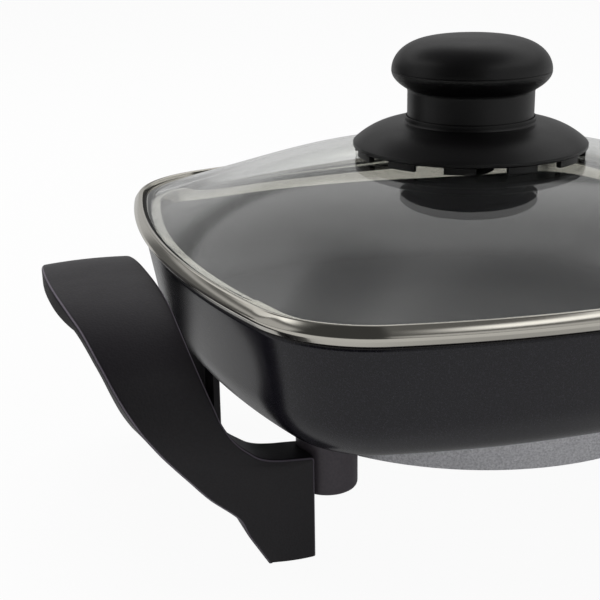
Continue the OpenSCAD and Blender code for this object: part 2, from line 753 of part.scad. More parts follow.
// Spring blade that the cam presses
module switch_blade() {
    color("#b8924a") {
        translate([case_x + case_t + 4, -3, case_low + cover_t + 1.2])
            cube([4, 6, 2]);
        translate([case_x + case_t + 4, -2.5, case_low + cover_t + 3.2])
            cube([12, 5, 0.4]);
    }
}

// Dial with a raised finger bar
module dial() {
    x = case_out + 0.4;
    edge = [[shaft_r, 0], [dial_r, 0], [dial_r, 3], [dial_r - 0.6, 3.8], [0, 4.2], [0, 3], [shaft_r, 3]];
    color("#262627") along_x(x, 0, dial_z) difference() {
        union() {
            rotate_extrude()
                polygon(edge);
            intersection() {
                cylinder(r = dial_r - 1, h = dial_h);
                translate([-dial_r, -2.6, 3])
                    cube([2 * dial_r, 5.2, dial_h - 3]);
            }
        }
        translate([-dial_r + 1.4, -0.5, dial_h - 0.5])
            cube([7, 1, 1]);
    }
}

module dial_shaft() {
    color("#c9c9cc") along_x(case_out - 9, 0, dial_z)
        cylinder(r = shaft_r, h = 12.4);
}

// Spiral cam inside the case, one step round the shaft
module dial_cam() {
    color("#d8d2c2") along_x(case_out - 8, 0, dial_z) difference() {
        union() {
            cylinder(r = 5.5, h = 3);
            translate([1.6, 0, 0])
                cylinder(r = 5.2, h = 3);
        }
        translate([0, 0, -1])
            cylinder(r = shaft_r, h = 6);
    }
}

pan();
base_casting();
heating_tube();
terminal_pins();
pin_insulators();
terminal_guard();
guard_screws();
left_handle();
right_handle();
post_bushings();
handle_screws();
foot_pads();
lid_glass();
lid_band();
glass_seal();
knob_cap();
knob_brim();
knob_seal();
knob_hub();
knob_screw();
control_case();
control_cover();
cover_screws();
probe();
contact_sleeves();
cord_gland();
lamp_lens();
pilot_lamp();
thermostat_frame();
switch_blade();
dial();
dial_shaft();
dial_cam();
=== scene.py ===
# %% [markdown]
# # A square electric skillet with a glass lid
# The real object is a small cast pan on four legs. Two wide moulded straps are at once its handles and its
# legs, a round dome of glass with a steel band lies loose on the rim, and a heat control plugs in on the
# right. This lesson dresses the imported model: it loads the fixed frame, makes smooth surfaces for the pieces
# that show, gives every piece a finish, and sets up a plain studio. All of it is in the frame's own axes.
# Shapes are written in millimetres and become metres when a piece is made. Camera and studio are in metres.

# %% Load the frame
import json
import math

import bmesh
import bpy
import numpy as np
from mathutils import Matrix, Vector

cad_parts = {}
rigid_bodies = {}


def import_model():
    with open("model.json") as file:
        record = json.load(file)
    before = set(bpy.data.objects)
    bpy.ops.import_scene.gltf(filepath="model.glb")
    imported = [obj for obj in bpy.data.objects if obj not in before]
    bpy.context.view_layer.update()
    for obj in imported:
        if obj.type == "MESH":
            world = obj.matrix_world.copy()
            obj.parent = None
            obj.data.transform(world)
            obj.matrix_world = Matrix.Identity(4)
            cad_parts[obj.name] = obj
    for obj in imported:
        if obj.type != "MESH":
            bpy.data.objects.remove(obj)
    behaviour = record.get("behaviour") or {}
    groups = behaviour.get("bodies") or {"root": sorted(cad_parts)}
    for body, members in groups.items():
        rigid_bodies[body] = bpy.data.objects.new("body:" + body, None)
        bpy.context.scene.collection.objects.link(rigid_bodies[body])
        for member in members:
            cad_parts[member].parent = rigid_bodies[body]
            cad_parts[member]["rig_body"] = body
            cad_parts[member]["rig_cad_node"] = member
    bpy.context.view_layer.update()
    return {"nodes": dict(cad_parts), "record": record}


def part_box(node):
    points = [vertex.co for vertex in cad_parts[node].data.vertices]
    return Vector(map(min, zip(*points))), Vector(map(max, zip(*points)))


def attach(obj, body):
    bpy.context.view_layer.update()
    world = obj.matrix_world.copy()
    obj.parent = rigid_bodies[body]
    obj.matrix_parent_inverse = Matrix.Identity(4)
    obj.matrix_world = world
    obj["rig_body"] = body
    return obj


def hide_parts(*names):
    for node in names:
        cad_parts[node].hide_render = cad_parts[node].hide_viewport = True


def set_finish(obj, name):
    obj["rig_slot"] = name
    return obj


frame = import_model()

MM = 0.001


def in_mm(box):
    """Both corners of a box of the frame, in millimetres."""
    return [np.array(corner) / MM for corner in box]


def placed(name, data):
    """A new object in the scene."""
    made = bpy.data.objects.new(name, data)
    bpy.context.scene.collection.objects.link(made)
    return made


# %% [markdown]
# ## The camera
# The picture was taken close to the pan, from the front left and a little above it, so near edges look
# clearly larger than far ones. The place and the three directions below were worked out from the rim, the
# steel band, the knob and the base together. A camera could be aimed with a constraint, but a plain matrix
# says exactly where its right side, its top and its back point.

# %% Camera
VIEW_PLACE = (-0.193879, -0.380837, 0.197307)
VIEW_RIGHT = (0.94331, -0.33154, -0.01573)
VIEW_UP = (0.11861, 0.29244, 0.94890)
VIEW_BACK = (-0.31000, -0.89697, 0.31518)
VIEW_LENS = 75.18
VIEW_SENSOR = 36.0


def facing(right, up, back):
    """The turn of an object whose own axes point right, up and back as given."""
    return Matrix((right, up, back)).transposed().to_4x4()


camera_data = bpy.data.cameras.new("camera")
camera_data.lens = VIEW_LENS
camera_data.sensor_width = VIEW_SENSOR
camera = placed("camera", camera_data)
camera.matrix_world = Matrix.Translation(VIEW_PLACE) @ facing(VIEW_RIGHT, VIEW_UP, VIEW_BACK)
bpy.context.scene.camera = camera
print("camera:", round(math.dist(VIEW_PLACE, (0, 0, 0)), 3), "m from the pan's foot, lens", VIEW_LENS, "mm")

# %% [markdown]
# ## From grids of points to meshes
# Every new piece is a grid: rows of points along one direction, and columns that run all the way round. A
# helper turns such a grid into four-sided faces, joins the last row to the first where that is wanted, and
# puts several grids into one object. Points that fall together, such as those at a pole, are merged, the
# faces are turned outwards, and edges sharper than a given angle stay crisp while the rest is shaded smooth.

# %% Grids to pieces
SHARP = math.radians(38)
WELD = 0.002 * MM


def grid(points, wrap_rows=False):
    """Points of a rows by columns grid and its quads (i, j), (i, j+1), (i+1, j+1), (i+1, j)."""
    rows, cols = points.shape[:2]
    i = np.arange(rows if wrap_rows else rows - 1)[:, None]
    j = np.arange(cols)[None, :]
    i2, j2 = (i + 1) % rows, (j + 1) % cols
    quads = i * cols + j, i * cols + j2, i2 * cols + j2, i2 * cols + j
    faces = np.stack(np.broadcast_arrays(*quads), -1)
    return points.reshape(-1, 3), faces.reshape(-1, 4).tolist()


def capped(points):
    """An open tube of rows, closed at both ends by one flat face each."""
    flat, faces = grid(points)
    rows, cols = points.shape[:2]
    first = list(range(cols))
    last = [(rows - 1) * cols + k for k in first]
    return flat, faces + [first, last]


def shaded(mesh):
    """Shades all but the sharp edges of a mesh smooth."""
    mesh.polygons.foreach_set("use_smooth", np.ones(len(mesh.polygons), bool))
    mesh.set_sharp_from_angle(angle=SHARP)


def tidy_mesh(mesh):
    """Merges points that fall together, turns the faces outwards and shades them."""
    work = bmesh.new()
    work.from_mesh(mesh)
    bmesh.ops.remove_doubles(work, verts=work.verts, dist=WELD)
    bmesh.ops.recalc_face_normals(work, faces=work.faces)
    work.to_mesh(mesh)
    work.free()
    shaded(mesh)


def piece(name, shapes, body, slot, replaces=(), marks=None):
    """One object from several (points, faces) shapes, in millimetres, riding on a body. Marks, one for each
    point of the first shape, are kept with the mesh for its finish."""
    starts = np.cumsum([0] + [len(points) for points, _ in shapes])
    points = np.concatenate([points for points, _ in shapes]) * MM
    faces = [[k + int(start) for k in face] for (_, own), start in zip(shapes, starts) for face in own]
    mesh = bpy.data.meshes.new(name)
    mesh.from_pydata(points.tolist(), [], faces)
    if marks is not None:
        kept = np.zeros(len(points))
        kept[:marks.size] = marks.ravel()
        mesh.attributes.new("mark", "FLOAT", "POINT").data.foreach_set("value", kept)
    tidy_mesh(mesh)
    made = placed(name, mesh)
    made.modifiers.new("even_normals", "WEIGHTED_NORMAL").keep_sharp = True
    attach(made, body)
    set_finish(made, slot)
    if replaces:
        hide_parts(*replaces)
    print(name + ":", len(mesh.polygons), "faces")


# %% [markdown]
# ## Profiles with round corners
# Cast, moulded and pressed pieces have no sharp corners. A profile is written as the few corners that a
# drawing would give, and each corner is rounded by a short curve that starts and ends a given distance from
# it.

# %% Profiles
CURVE = 7
SIDE_SHARE = 0.49
ROUND_STEPS = 192


def rounded(corners, sizes, steps=CURVE, closed=True):
    """Each corner p becomes the curve (1-t)^2 a + 2t(1-t) p + t^2 b. Here a and b lie the given distance
    before and after the corner, but always within the nearer half of a side."""
    p = np.asarray(corners, float)
    size = np.broadcast_to(np.asarray(sizes, float), len(p)).copy()
    if not closed:
        size[[0, -1]] = 0
    before, after = np.roll(p, 1, 0) - p, np.roll(p, -1, 0) - p
    near, far = np.linalg.norm(before, axis=1), np.linalg.norm(after, axis=1)
    cut = np.minimum(size, SIDE_SHARE * np.minimum(near, far))
    a = p + before * (cut / near)[:, None]
    b = p + after * (cut / far)[:, None]
    t = np.linspace(0, 1, steps)[None, :, None]
    curve = (1 - t) ** 2 * a[:, None] + 2 * t * (1 - t) * p[:, None] + t**2 * b[:, None]
    return curve.reshape(-1, 2)


def arc(cx, cz, r, start, end, steps):
    """Points of an arc of radius r round (cx, cz), angles in degrees."""
    a = np.radians(np.linspace(start, end, steps))
    return np.stack([cx + r * np.cos(a), cz + r * np.sin(a)], 1)


def revolve(profile, at=(0, 0), steps=ROUND_STEPS, closed=True):
    """A (radius, height) profile turned about a vertical axis: x = r cos a, y = r sin a, z = z."""
    a = np.linspace(0, 2 * np.pi, steps, endpoint=False)[None, :]
    r, z = profile[:, :1], profile[:, 1:]
    points = np.stack(np.broadcast_arrays(at[0] + r * np.cos(a), at[1] + r * np.sin(a), z), -1)
    return grid(points, wrap_rows=closed)


# %% [markdown]
# ## The plan of the pan
# Seen from above the pan is a bowed square: four sides that swell outwards, joined by round corners. Rim,
# band, glass and floor are all offsets of one core, so their gaps stay even all the way round.

# %% Plan outline
pan_low, pan_high = in_mm(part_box("pan"))
glass_low, glass_high = in_mm(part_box("lid_glass"))
GLASS = glass_high[0]
GLASS_GAP = 0.3
RIM = GLASS + GLASS_GAP
RIM_Z = pan_high[2]
CORNER = 37.2
BOW = 8.0
SIDE_STEPS, CORNER_STEPS = 56, 36

core = RIM - CORNER
corner_at = core - BOW
bow_r = (corner_at**2 + BOW**2) / (2 * BOW)
bow_a = math.asin(corner_at / bow_r)
side_angles = np.linspace(-bow_a, bow_a, SIDE_STEPS, endpoint=False)[None, :]
corner_angles = np.linspace(bow_a, math.pi / 2 - bow_a, CORNER_STEPS, endpoint=False)[None, :]


def outline(half):
    """Outlines of the given half widths, shape (rows, 1): the side is an arc of radius bow_r + r about a far
    centre, the corner an arc of radius r, with r the offset from the core. The quarter is turned four
    times."""
    r = half - core
    side_r = bow_r + r
    side = np.stack([core - bow_r + side_r * np.cos(side_angles), side_r * np.sin(side_angles)], -1)
    corner = np.stack([corner_at + r * np.cos(corner_angles), corner_at + r * np.sin(corner_angles)], -1)
    quarter = np.concatenate([side, corner], 1)
    turned = np.stack([-quarter[..., 1], quarter[..., 0]], -1)
    return np.concatenate([quarter, turned, -quarter, -turned], 1)


def carried(profile):
    """A (half width, height) profile carried round the plan outline."""
    plan = outline(profile[:, :1])
    z = np.broadcast_to(profile[:, 1:, None], plan.shape[:2] + (1,))
    return np.concatenate([plan, z], -1)


print("plan: half width", round(RIM, 1), "mm, side radius", round(bow_r, 1), "mm")

# %% [markdown]
# ## The pan
# The pan is one casting: walls that lean a little, a large round foot between wall and floor, and a narrow
# rim. Four bosses under it take the handles' screws. It could be a subdivided box, but a profile carried
# round the plan gives the exact wall, and the foot is then simply an arc inside and an arc outside with one
# centre. The inside is marked, because its coat is rougher.

# %% Pan
BOSS_DEPTH, BOSS_SINK = 8.0, 1.0
BOSS_R = 5.0
BOSS_STEPS = 48
AXIS_R = 0.01
POST_X, POST_Y = RIM - 35.6, 50.0
WALL_TOP = pan_high[0]
WALL_SLOPE = 0.18
WALL_T = 4.0
FLOOR_T = 4.5
FOOT_R = 20.5
OUTER_STEPS, INNER_STEPS = 30, 24
LEAN = math.atan(WALL_SLOPE)
UNDER_Z = pan_low[2] + BOSS_DEPTH
FOOT_Z = UNDER_Z + FOOT_R
FOOT = WALL_TOP - WALL_SLOPE * (RIM_Z - FOOT_Z) - FOOT_R / math.cos(LEAN)

wall_turn = -math.degrees(LEAN)
outer_foot = arc(FOOT, FOOT_Z, FOOT_R, -90, wall_turn, OUTER_STEPS)
inner_foot = arc(FOOT, FOOT_Z, FOOT_R - FLOOR_T, wall_turn, -90, INNER_STEPS)
# From the outer foot up the wall, over the eased rim and down to the inner foot.
rim_corners = [outer_foot[-1], (WALL_TOP - 0.05, RIM_Z - 0.9), (WALL_TOP - 0.7, RIM_Z),
               (WALL_TOP - WALL_T, RIM_Z), inner_foot[0]]
rim_profile = rounded(rim_corners, [0, 0.5, 0.6, 0.7, 0], closed=False)
pan_profile = np.concatenate([outer_foot, rim_profile[CURVE:-CURVE], inner_foot])
pan_rows = carried(pan_profile)
inside = np.arange(len(pan_profile)) >= len(pan_profile) - len(inner_foot) - CURVE

boss_top, boss_low = UNDER_Z + BOSS_SINK, UNDER_Z - BOSS_DEPTH
boss = rounded([(AXIS_R, boss_top), (BOSS_R, boss_top), (BOSS_R, boss_low), (AXIS_R, boss_low)], 0.4)
boss_places = [(sx * POST_X, sy * POST_Y) for sx in (-1, 1) for sy in (-1, 1)]
bosses = [revolve(boss, at, BOSS_STEPS) for at in boss_places]
piece("pan_shell", [capped(pan_rows)] + bosses, "skillet", "pan_coat", ["pan"],
      np.broadcast_to(inside[:, None], pan_rows.shape[:2]))

# %% [markdown]
# ## The glass lid
# The glass is a round dome that runs out into the bowed square of its edge. In the middle its level lines
# are circles; towards the edge they turn into the plan outline. One formula gives both faces: the lower one
# lies a glass thickness under the upper.

# %% Glass
GLASS_T = 3.6
SEAT_Z = glass_low[2]
SEAT_GAP = 0.4
GLASS_EDGE = SEAT_Z + SEAT_GAP + GLASS_T
GLASS_HOLE = 4.2
DOME_RISE = 23.0
DOME_POWER = 3.1
DOME_ROUND = 0.55
DOME_STEPS, DOME_SPACING = 72, 1.15


def dome_height(s):
    """Height of the upper face at the share s of the way from the middle to the edge."""
    return GLASS_EDGE + DOME_RISE * (1 - s**DOME_POWER)


def dome(s, drop):
    """Level lines at the shares s: circles inside DOME_ROUND, then a blend t^3 towards the plan outline."""
    s = np.asarray(s, float)[:, None, None]
    edge = outline(np.array([[GLASS]]))
    ring = GLASS * edge / np.linalg.norm(edge, axis=-1, keepdims=True)
    t = np.clip((s - DOME_ROUND) / (1 - DOME_ROUND), 0, 1) ** 3
    plan = s * (ring * (1 - t) + edge * t)
    z = np.broadcast_to(dome_height(s) - drop, plan.shape[:2] + (1,))
    return np.concatenate([plan, z], -1)


hole = GLASS_HOLE / GLASS
shares = 1 - (1 - hole) * np.linspace(0, 1, DOME_STEPS) ** DOME_SPACING
# From the underside out to the ground lower edge, and up the side.
edge_profile = rounded(
    [(GLASS - 2.6, SEAT_Z + 1.0), (GLASS - 1.4, SEAT_Z), (GLASS, SEAT_Z + 0.6), (GLASS, GLASS_EDGE)],
    [0, 0.6, 0.8, 0], closed=False)
glass_rows = np.concatenate([carried(edge_profile), dome(shares, 0), dome(shares[:1:-1], GLASS_T)])
piece("glass_dome", [grid(glass_rows, wrap_rows=True)], "lid", "lid_glass", ["lid_glass"])

# %% [markdown]
# ## The steel band
# A strip of steel is rolled round the glass. Its outer face bulges low down and leans in to a narrow top
# edge, a seat inside carries the glass, and a short flange keeps the lid on the pan. Below the bulge the
# steel mirrors the table, above it the dark front of the studio, so one smooth face shows a bright band and
# a dark one.

# %% Band and its seal
band_low, band_high = in_mm(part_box("lid_band"))
LID_GAP = 0.3
LID_Z = RIM_Z + LID_GAP
BAND_TOP = band_high[2]
FLANGE_Z = band_low[2]
BAND = band_high[0]
BAND_CURVE = 11

# Outside, from the lower edge over the bulge to the top. Inside, down to the seat and round the flange.
band_outside = [(RIM + 1.4, LID_Z), (RIM + 2.3, LID_Z + 0.3), (BAND + 0.3, LID_Z + 3.1),
                (RIM + 3.5, LID_Z + 5), (RIM + 2.3, BAND_TOP), (RIM + 1.1, BAND_TOP - 0.2)]
band_inside = [(RIM + 0.55, LID_Z + 4), (RIM, SEAT_Z), (RIM - 6.4, SEAT_Z), (RIM - 7, FLANGE_Z),
               (RIM - 6.2, FLANGE_Z), (RIM - 5.4, LID_Z)]
band_rounds = [0.4, 0.6, 1.2, 0.85, 0.5, 0.3, 0.5, 0.2, 0.3, 0.3, 0.3, 0.3]
band_profile = rounded(band_outside + band_inside, band_rounds, BAND_CURVE)
piece("steel_band", [grid(carried(band_profile), wrap_rows=True)], "lid", "band_steel", ["lid_band"])

seal_profile = rounded([(RIM - 0.4, SEAT_Z + 1), (RIM + 0.5, SEAT_Z + 1.2), (RIM + 0.75, GLASS_EDGE - 0.9),
                        (RIM - 0.3, GLASS_EDGE - 0.2)], 0.3)
piece("clear_seal", [grid(carried(seal_profile), wrap_rows=True)], "lid", "seal_rubber", ["glass_seal"])

# %% [markdown]
# ## The knob
# The knob is turned: a flattened ball on a straight neck, and a thin domed skirt. Cap and skirt are two
# mouldings, so a fine gap shows between them. Below its widest circle the cap draws in as a parabola, above
# it as a squarish oval, and between them lies the parting line where the mould closed.

# %% Knob's cap
cap_low, cap_high = in_mm(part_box("knob_cap"))
CAP_R = cap_high[0]
KNOB_TOP = cap_high[2]
SPIGOT = 1.0
NECK_R = 21.4
NECK_Z = cap_low[2] + SPIGOT
SPIGOT_R = NECK_R - 3
STEP_Z = NECK_Z + 1.6
WIDE_Z = KNOB_TOP - 11.3
PARTING = 0.2
CAP_CURVE = 0.142
CAP_POWER = 0.58
CAP_FROM, CAP_TO = 0.97, 0.05
LOWER_STEPS, UPPER_STEPS = 26, 44

drop = math.sqrt((CAP_R - NECK_R) / CAP_CURVE)
below = np.linspace(CAP_FROM, CAP_TO, LOWER_STEPS)[:, None]
above = np.radians(np.linspace(2, 90, UPPER_STEPS))[:, None]
# From the axis under the spigot, over its step and up the neck to the start of the parabola.
neck = rounded(
    [(AXIS_R, NECK_Z - SPIGOT), (SPIGOT_R, NECK_Z - SPIGOT), (SPIGOT_R, STEP_Z), (NECK_R, STEP_Z),
     (NECK_R, WIDE_Z - drop - 0.6), (NECK_R + 0.33, WIDE_Z - CAP_FROM * drop)],
    [0, 0.3, 0.3, 0.3, 1.2, 0], closed=False)
lower_half = np.concatenate([CAP_R - (CAP_R - NECK_R) * below**2, WIDE_Z - drop * below], 1)
parting = rounded(
    [(CAP_R, WIDE_Z - PARTING), (CAP_R - PARTING, WIDE_Z), (CAP_R, WIDE_Z + PARTING)], 0.08, closed=False)
upper_half = np.concatenate(
    [CAP_R * np.cos(above) ** CAP_POWER, WIDE_Z + (KNOB_TOP - WIDE_Z) * np.sin(above)], 1)
cap_profile = np.concatenate([neck, lower_half, parting, upper_half])
piece("knob_top", [revolve(cap_profile, closed=False)], "lid", "knob_moulding", ["knob_cap"])

# %% [markdown]
# The skirt has a low collar round the neck and stands on twelve short teeth. The teeth could be cut out of a
# ring, but each is simply a short arc of a rounded bar.

# %% Knob's skirt
brim_low, brim_high = in_mm(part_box("knob_brim"))
BRIM_R = brim_high[0]
TEETH_Z = brim_low[2]
BRIM_Z = NECK_Z - 6.8
COLLAR_R = NECK_R + 0.7
COLLAR_Z = NECK_Z + 3.5
SLEEVE_R, SLEEVE_Z = NECK_R + 0.15, NECK_Z + 1.5
SOCKET_R = NECK_R - 2.9
HOLE_R = 3.8
WEB_Z = BRIM_Z + 4.3
SKIRT_T = 1.9
SKIRT_RISE, SKIRT_FALL, SKIRT_POWER = 8.2, 6.6, 2.4
SKIRT_STEPS = 40
TOOTH_COUNT, TOOTH_STEPS, TOOTH_CURVE = 12, 9, 4
TOOTH_TURN = math.radians(51.5)
TOOTH_IN, TOOTH_OUT = BRIM_R - 2.6, BRIM_R - 0.7
TOOTH_ROOT = BRIM_Z + 1.3


def skirt_z(r):
    """Height of the skirt's upper face: a shallow dome that falls away more steeply towards its edge."""
    return BRIM_Z + SKIRT_RISE - SKIRT_FALL * ((r - COLLAR_R) / (BRIM_R - COLLAR_R)) ** SKIRT_POWER


def tooth(k):
    """A rounded bar of half the pitch, bent about the knob's axis and closed at both ends."""
    start = TOOTH_TURN + 2 * np.pi * k / TOOTH_COUNT
    a = start + np.linspace(0, np.pi / TOOTH_COUNT, TOOTH_STEPS)[:, None]
    corners = [(TOOTH_IN, TOOTH_ROOT), (TOOTH_IN, TEETH_Z), (TOOTH_OUT, TEETH_Z), (TOOTH_OUT, TOOTH_ROOT)]
    bar = rounded(corners, [0.1, 0.3, 0.3, 0.1], TOOTH_CURVE)
    r, z = bar[None, :, 0], bar[None, :, 1]
    return capped(np.stack(np.broadcast_arrays(r * np.cos(a), r * np.sin(a), z), -1))


below_r = np.array([COLLAR_R + 4, (COLLAR_R + BRIM_R) / 2 + 2, BRIM_R - 2.8])
above_r = np.linspace(BRIM_R - 0.5, COLLAR_R + 0.7, SKIRT_STEPS)
# From the screw's hole along the underside and round the edge, then back over the top and into the collar.
skirt_below = rounded(
    [(HOLE_R, WEB_Z), (SPIGOT_R, WEB_Z), *zip(below_r, skirt_z(below_r) - SKIRT_T),
     (BRIM_R - 1.3, BRIM_Z + 0.3), (BRIM_R - 0.6, BRIM_Z), (BRIM_R, BRIM_Z + 0.3), (BRIM_R, BRIM_Z + 1.5)],
    [0, 1, 2, 3, 1, 0.3, 0.3, 0.4, 0], closed=False)
skirt_above = np.stack([above_r, skirt_z(above_r)], 1)
collar = rounded(
    [(COLLAR_R + 0.3, skirt_z(COLLAR_R) + 0.1), (COLLAR_R, skirt_z(COLLAR_R) + 0.6), (COLLAR_R, COLLAR_Z),
     (SLEEVE_R, COLLAR_Z), (SLEEVE_R, SLEEVE_Z), (SOCKET_R, SLEEVE_Z), (SOCKET_R, NECK_Z - SPIGOT),
     (HOLE_R, NECK_Z - SPIGOT)],
    [0, 0.4, 0.3, 0.25, 0.2, 0.2, 0.2, 0], closed=False)
skirt_profile = np.concatenate([skirt_below, skirt_above, collar])
piece("knob_skirt", [revolve(skirt_profile)] + [tooth(k) for k in range(TOOTH_COUNT)],
      "lid", "knob_moulding", ["knob_brim"])

# %% [markdown]
# ## The strap handles
# Each handle is a wide strap bent like an arch: up one leg, over the grip and down the other leg. Laid flat,
# it is a shape between two edge curves, and the arch bends that flat sheet. So the edges are drawn on the
# flat sheet, the section with its rounded rims is set off from them, and only then is every point bent onto
# the arch.

# %% The strap's arch
CROWN = 0.5
strap_low, strap_high = in_mm(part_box("left_handle"))
GRIP_OUT = -strap_low[0]
LEG_Y = -strap_low[1] - CROWN
PAD = strap_low[2]
GRIP_Z = strap_high[2] - CROWN
GRIP_IN = RIM + 6.4
LEG_IN = RIM - 28.2
FOOT_W = 15.0
ARCH_LOW = UNDER_Z - 12.0
ARCH_POWER = 2.8
ARCH_STEPS = 200
CREST_DEPTH = 9


def arch_share(t):
    """(1 - t^p)^(1/p): one coordinate of a superellipse against the other."""
    return (1 - np.clip(t, 0, 1) ** ARCH_POWER) ** (1 / ARCH_POWER)


leg_z = np.linspace(PAD, GRIP_Z - CREST_DEPTH, 2 * ARCH_STEPS)
leg_line = np.stack([-LEG_Y * arch_share((leg_z - ARCH_LOW) / (GRIP_Z - ARCH_LOW)), leg_z], 1)
crest_y = np.linspace(leg_line[-1, 0], 0, ARCH_STEPS)[1:]
crest_line = np.stack([crest_y, ARCH_LOW + (GRIP_Z - ARCH_LOW) * arch_share(-crest_y / LEG_Y)], 1)
arch = np.concatenate([leg_line, crest_line])
arch_way = np.concatenate([[0], np.cumsum(np.linalg.norm(np.diff(arch, axis=0), axis=1))])
arch_slope = np.gradient(arch, arch_way, axis=0)
print("strap: arch", round(arch_way[-1], 1), "mm from foot to crest")

# %% [markdown]
# The edges are given as a few points of width against height, as shares from the foot to the crest. On the
# flat sheet, height becomes the way along the arch. A smooth curve runs through the points and their mirror
# images past the crest, so that it crosses the crest without a kink. Both edges are then cut into the same
# number of equal steps, so that each step of one faces a step of the other.

# %% The strap's edges on the flat sheet
EDGE_STEPS = 1000
STATIONS = 190
SAME_PLACE = 1e-6


def smooth_through(points, steps):
    """A curve through given points: on each span, a cubic whose end slopes point from neighbour to
    neighbour."""
    p = np.asarray(points, float)
    gap = np.linalg.norm(np.diff(p, axis=0), axis=1)
    at = np.concatenate([[0], np.cumsum(gap)])
    slope = np.gradient(p, at, axis=0)
    s = np.linspace(0, at[-1], steps)
    k = np.clip(np.searchsorted(at, s, side="right") - 1, 0, len(gap) - 1)
    t = ((s - at[k]) / gap[k])[:, None]
    h = gap[k][:, None]
    return ((2 * t**3 - 3 * t**2 + 1) * p[k] + (t**3 - 2 * t**2 + t) * h * slope[k]
            + (3 * t**2 - 2 * t**3) * p[k + 1] + (t**3 - t**2) * h * slope[k + 1])


def on_sheet(points):
    """Edge points (x, z) as (x, way along the arch)."""
    x, z = np.asarray(points, float).T
    return np.stack([x, np.interp(z, arch[:, 1], arch_way)], 1)


def to_crest(points):
    """A smooth curve through the points and their mirror images past the crest, up to the crest."""
    line = on_sheet(points)
    mirror = line[-2::-1] * (1, -1) + (0, 2 * arch_way[-1])
    return smooth_through(np.concatenate([line, mirror]), 2 * EDGE_STEPS + 1)[:EDGE_STEPS + 1]


def stepped(line):
    """The line cut into equal steps."""
    step = np.concatenate([[0], np.cumsum(np.linalg.norm(np.diff(line, axis=0), axis=1))])
    keep = np.concatenate([[True], np.diff(step) > SAME_PLACE])
    s = np.linspace(0, step[-1], STATIONS)
    return np.stack([np.interp(s, step[keep], line[keep, k]) for k in (0, 1)], 1)


# %% The strap's two edges
LEDGE_Z = UNDER_Z - 7.6
LEDGE_START = 3
LEG_ROUND, LEG_CURVE = 1.2, 12
outer_shares = [
    (0, PAD / GRIP_Z), (0.07, 0.091), (0.119, 0.145), (0.178, 0.226), (0.219, 0.253), (0.277, 0.286),
    (0.335, 0.32), (0.39, 0.359), (0.444, 0.401), (0.525, 0.463), (0.604, 0.526), (0.654, 0.571),
    (0.704, 0.618), (0.75, 0.67), (0.792, 0.723), (0.831, 0.78), (0.865, 0.835), (0.892, 0.878),
    (0.913, 0.913), (0.936, 0.946), (0.961, 0.971), (0.987, 0.993), (1, 1)]
inner_shares = [
    (0.02, 0.001), (0.139, 0.009), (0.321, 0.022), (0.41, 0.035), (0.497, 0.06), (0.584, 0.109),
    (0.668, 0.166), (0.734, 0.228), (0.786, 0.295), (0.868, 0.47), (0.934, 0.636), (0.974, 0.763),
    (0.996, 0.865), (1, 0.945), (1, 1)]

lean, reach, rise = GRIP_OUT - LEG_IN - FOOT_W, GRIP_IN - LEG_IN, GRIP_Z - LEDGE_Z
outer_edge = stepped(to_crest([(LEG_IN + FOOT_W + lean * x, GRIP_Z * z) for x, z in outer_shares]))
ledge = to_crest([(LEG_IN + reach * x, LEDGE_Z + rise * z) for x, z in inner_shares])
ledge = ledge[ledge[:, 0] > LEG_IN + LEDGE_START]
leg_corners = [*on_sheet([(LEG_IN, PAD), (LEG_IN, LEDGE_Z)]), ledge[0]]
leg_edge = rounded(leg_corners, [0, LEG_ROUND, 0], LEG_CURVE, closed=False)
inner_edge = stepped(np.concatenate([leg_edge[:2 * LEG_CURVE], ledge]))
print("strap: edges of", len(outer_edge), "steps")

# %% [markdown]
# The section is a shallow channel: a slightly crowned face, rounded rims, and a hollow behind. It is set off
# from the two edges on the flat sheet, and only then bent onto the arch.

# %% Helpers for the strap's section
LEG_DEPTH, GRIP_DEPTH, LIP = 14.0, 6.5, 3.4
BEND_EASE = 4
SMOOTHED = 5


def side_of(line, sign):
    """Unit direction from an edge into the sheet, from the edge's slope smoothed over a few steps."""
    slope = np.gradient(line, axis=0)
    kernel = np.ones(SMOOTHED) / SMOOTHED
    padded = np.pad(slope, ((SMOOTHED // 2, SMOOTHED // 2), (0, 0)), mode="edge")
    slope = np.stack([np.convolve(padded[:, k], kernel, "valid") for k in (0, 1)], 1)
    slope /= np.linalg.norm(slope, axis=1, keepdims=True)
    return sign * np.stack([slope[:, 1], -slope[:, 0]], 1)


def depth_at(way):
    """Depth of the channel: deep at the leg, a thin rim at the bend, and a flat underside below the crest."""
    z = np.interp(way, arch_way, arch[:, 1])
    t = np.clip((z - LEDGE_Z - BEND_EASE) / (GRIP_Z - GRIP_DEPTH - LEDGE_Z - 2 * BEND_EASE), 0, 1)
    rim = LEG_DEPTH + (LIP - LEG_DEPTH) * t * t * (3 - 2 * t)
    return np.maximum(rim, z - GRIP_Z + GRIP_DEPTH)


def bent(x, way, depth):
    """Bends sheet points onto the arch: y and z along it, moved inwards by depth square to it."""
    y, z = (np.interp(way, arch_way, arch[:, k]) for k in (0, 1))
    dy, dz = (np.interp(way, arch_way, arch_slope[:, k]) for k in (0, 1))
    return np.stack([-x, y + depth * dz, z - depth * dy], -1)


# %% [markdown]
# Each wall of the channel is a short line of offsets from its edge, with a depth for every offset. On the
# outside of a wall, the two points in the middle of the rim's fillet are marked: there a paler line is painted
# on the moulding, as a highlight along the rim.

# %% The strap's section, bent onto the arch
SHELL = 2.6
RIM_FILLET, INNER_FILLET = 1.2, 0.6
LIP_EASE = 0.5
FACE_STEPS = 15
FILLET_STEPS = 8
# Three points of the wall come before the fillet, and its fourth and fifth are in its middle.
RIM_LINE = slice(6, 8)
quarter_turn = np.linspace(0, np.pi / 2, FILLET_STEPS)


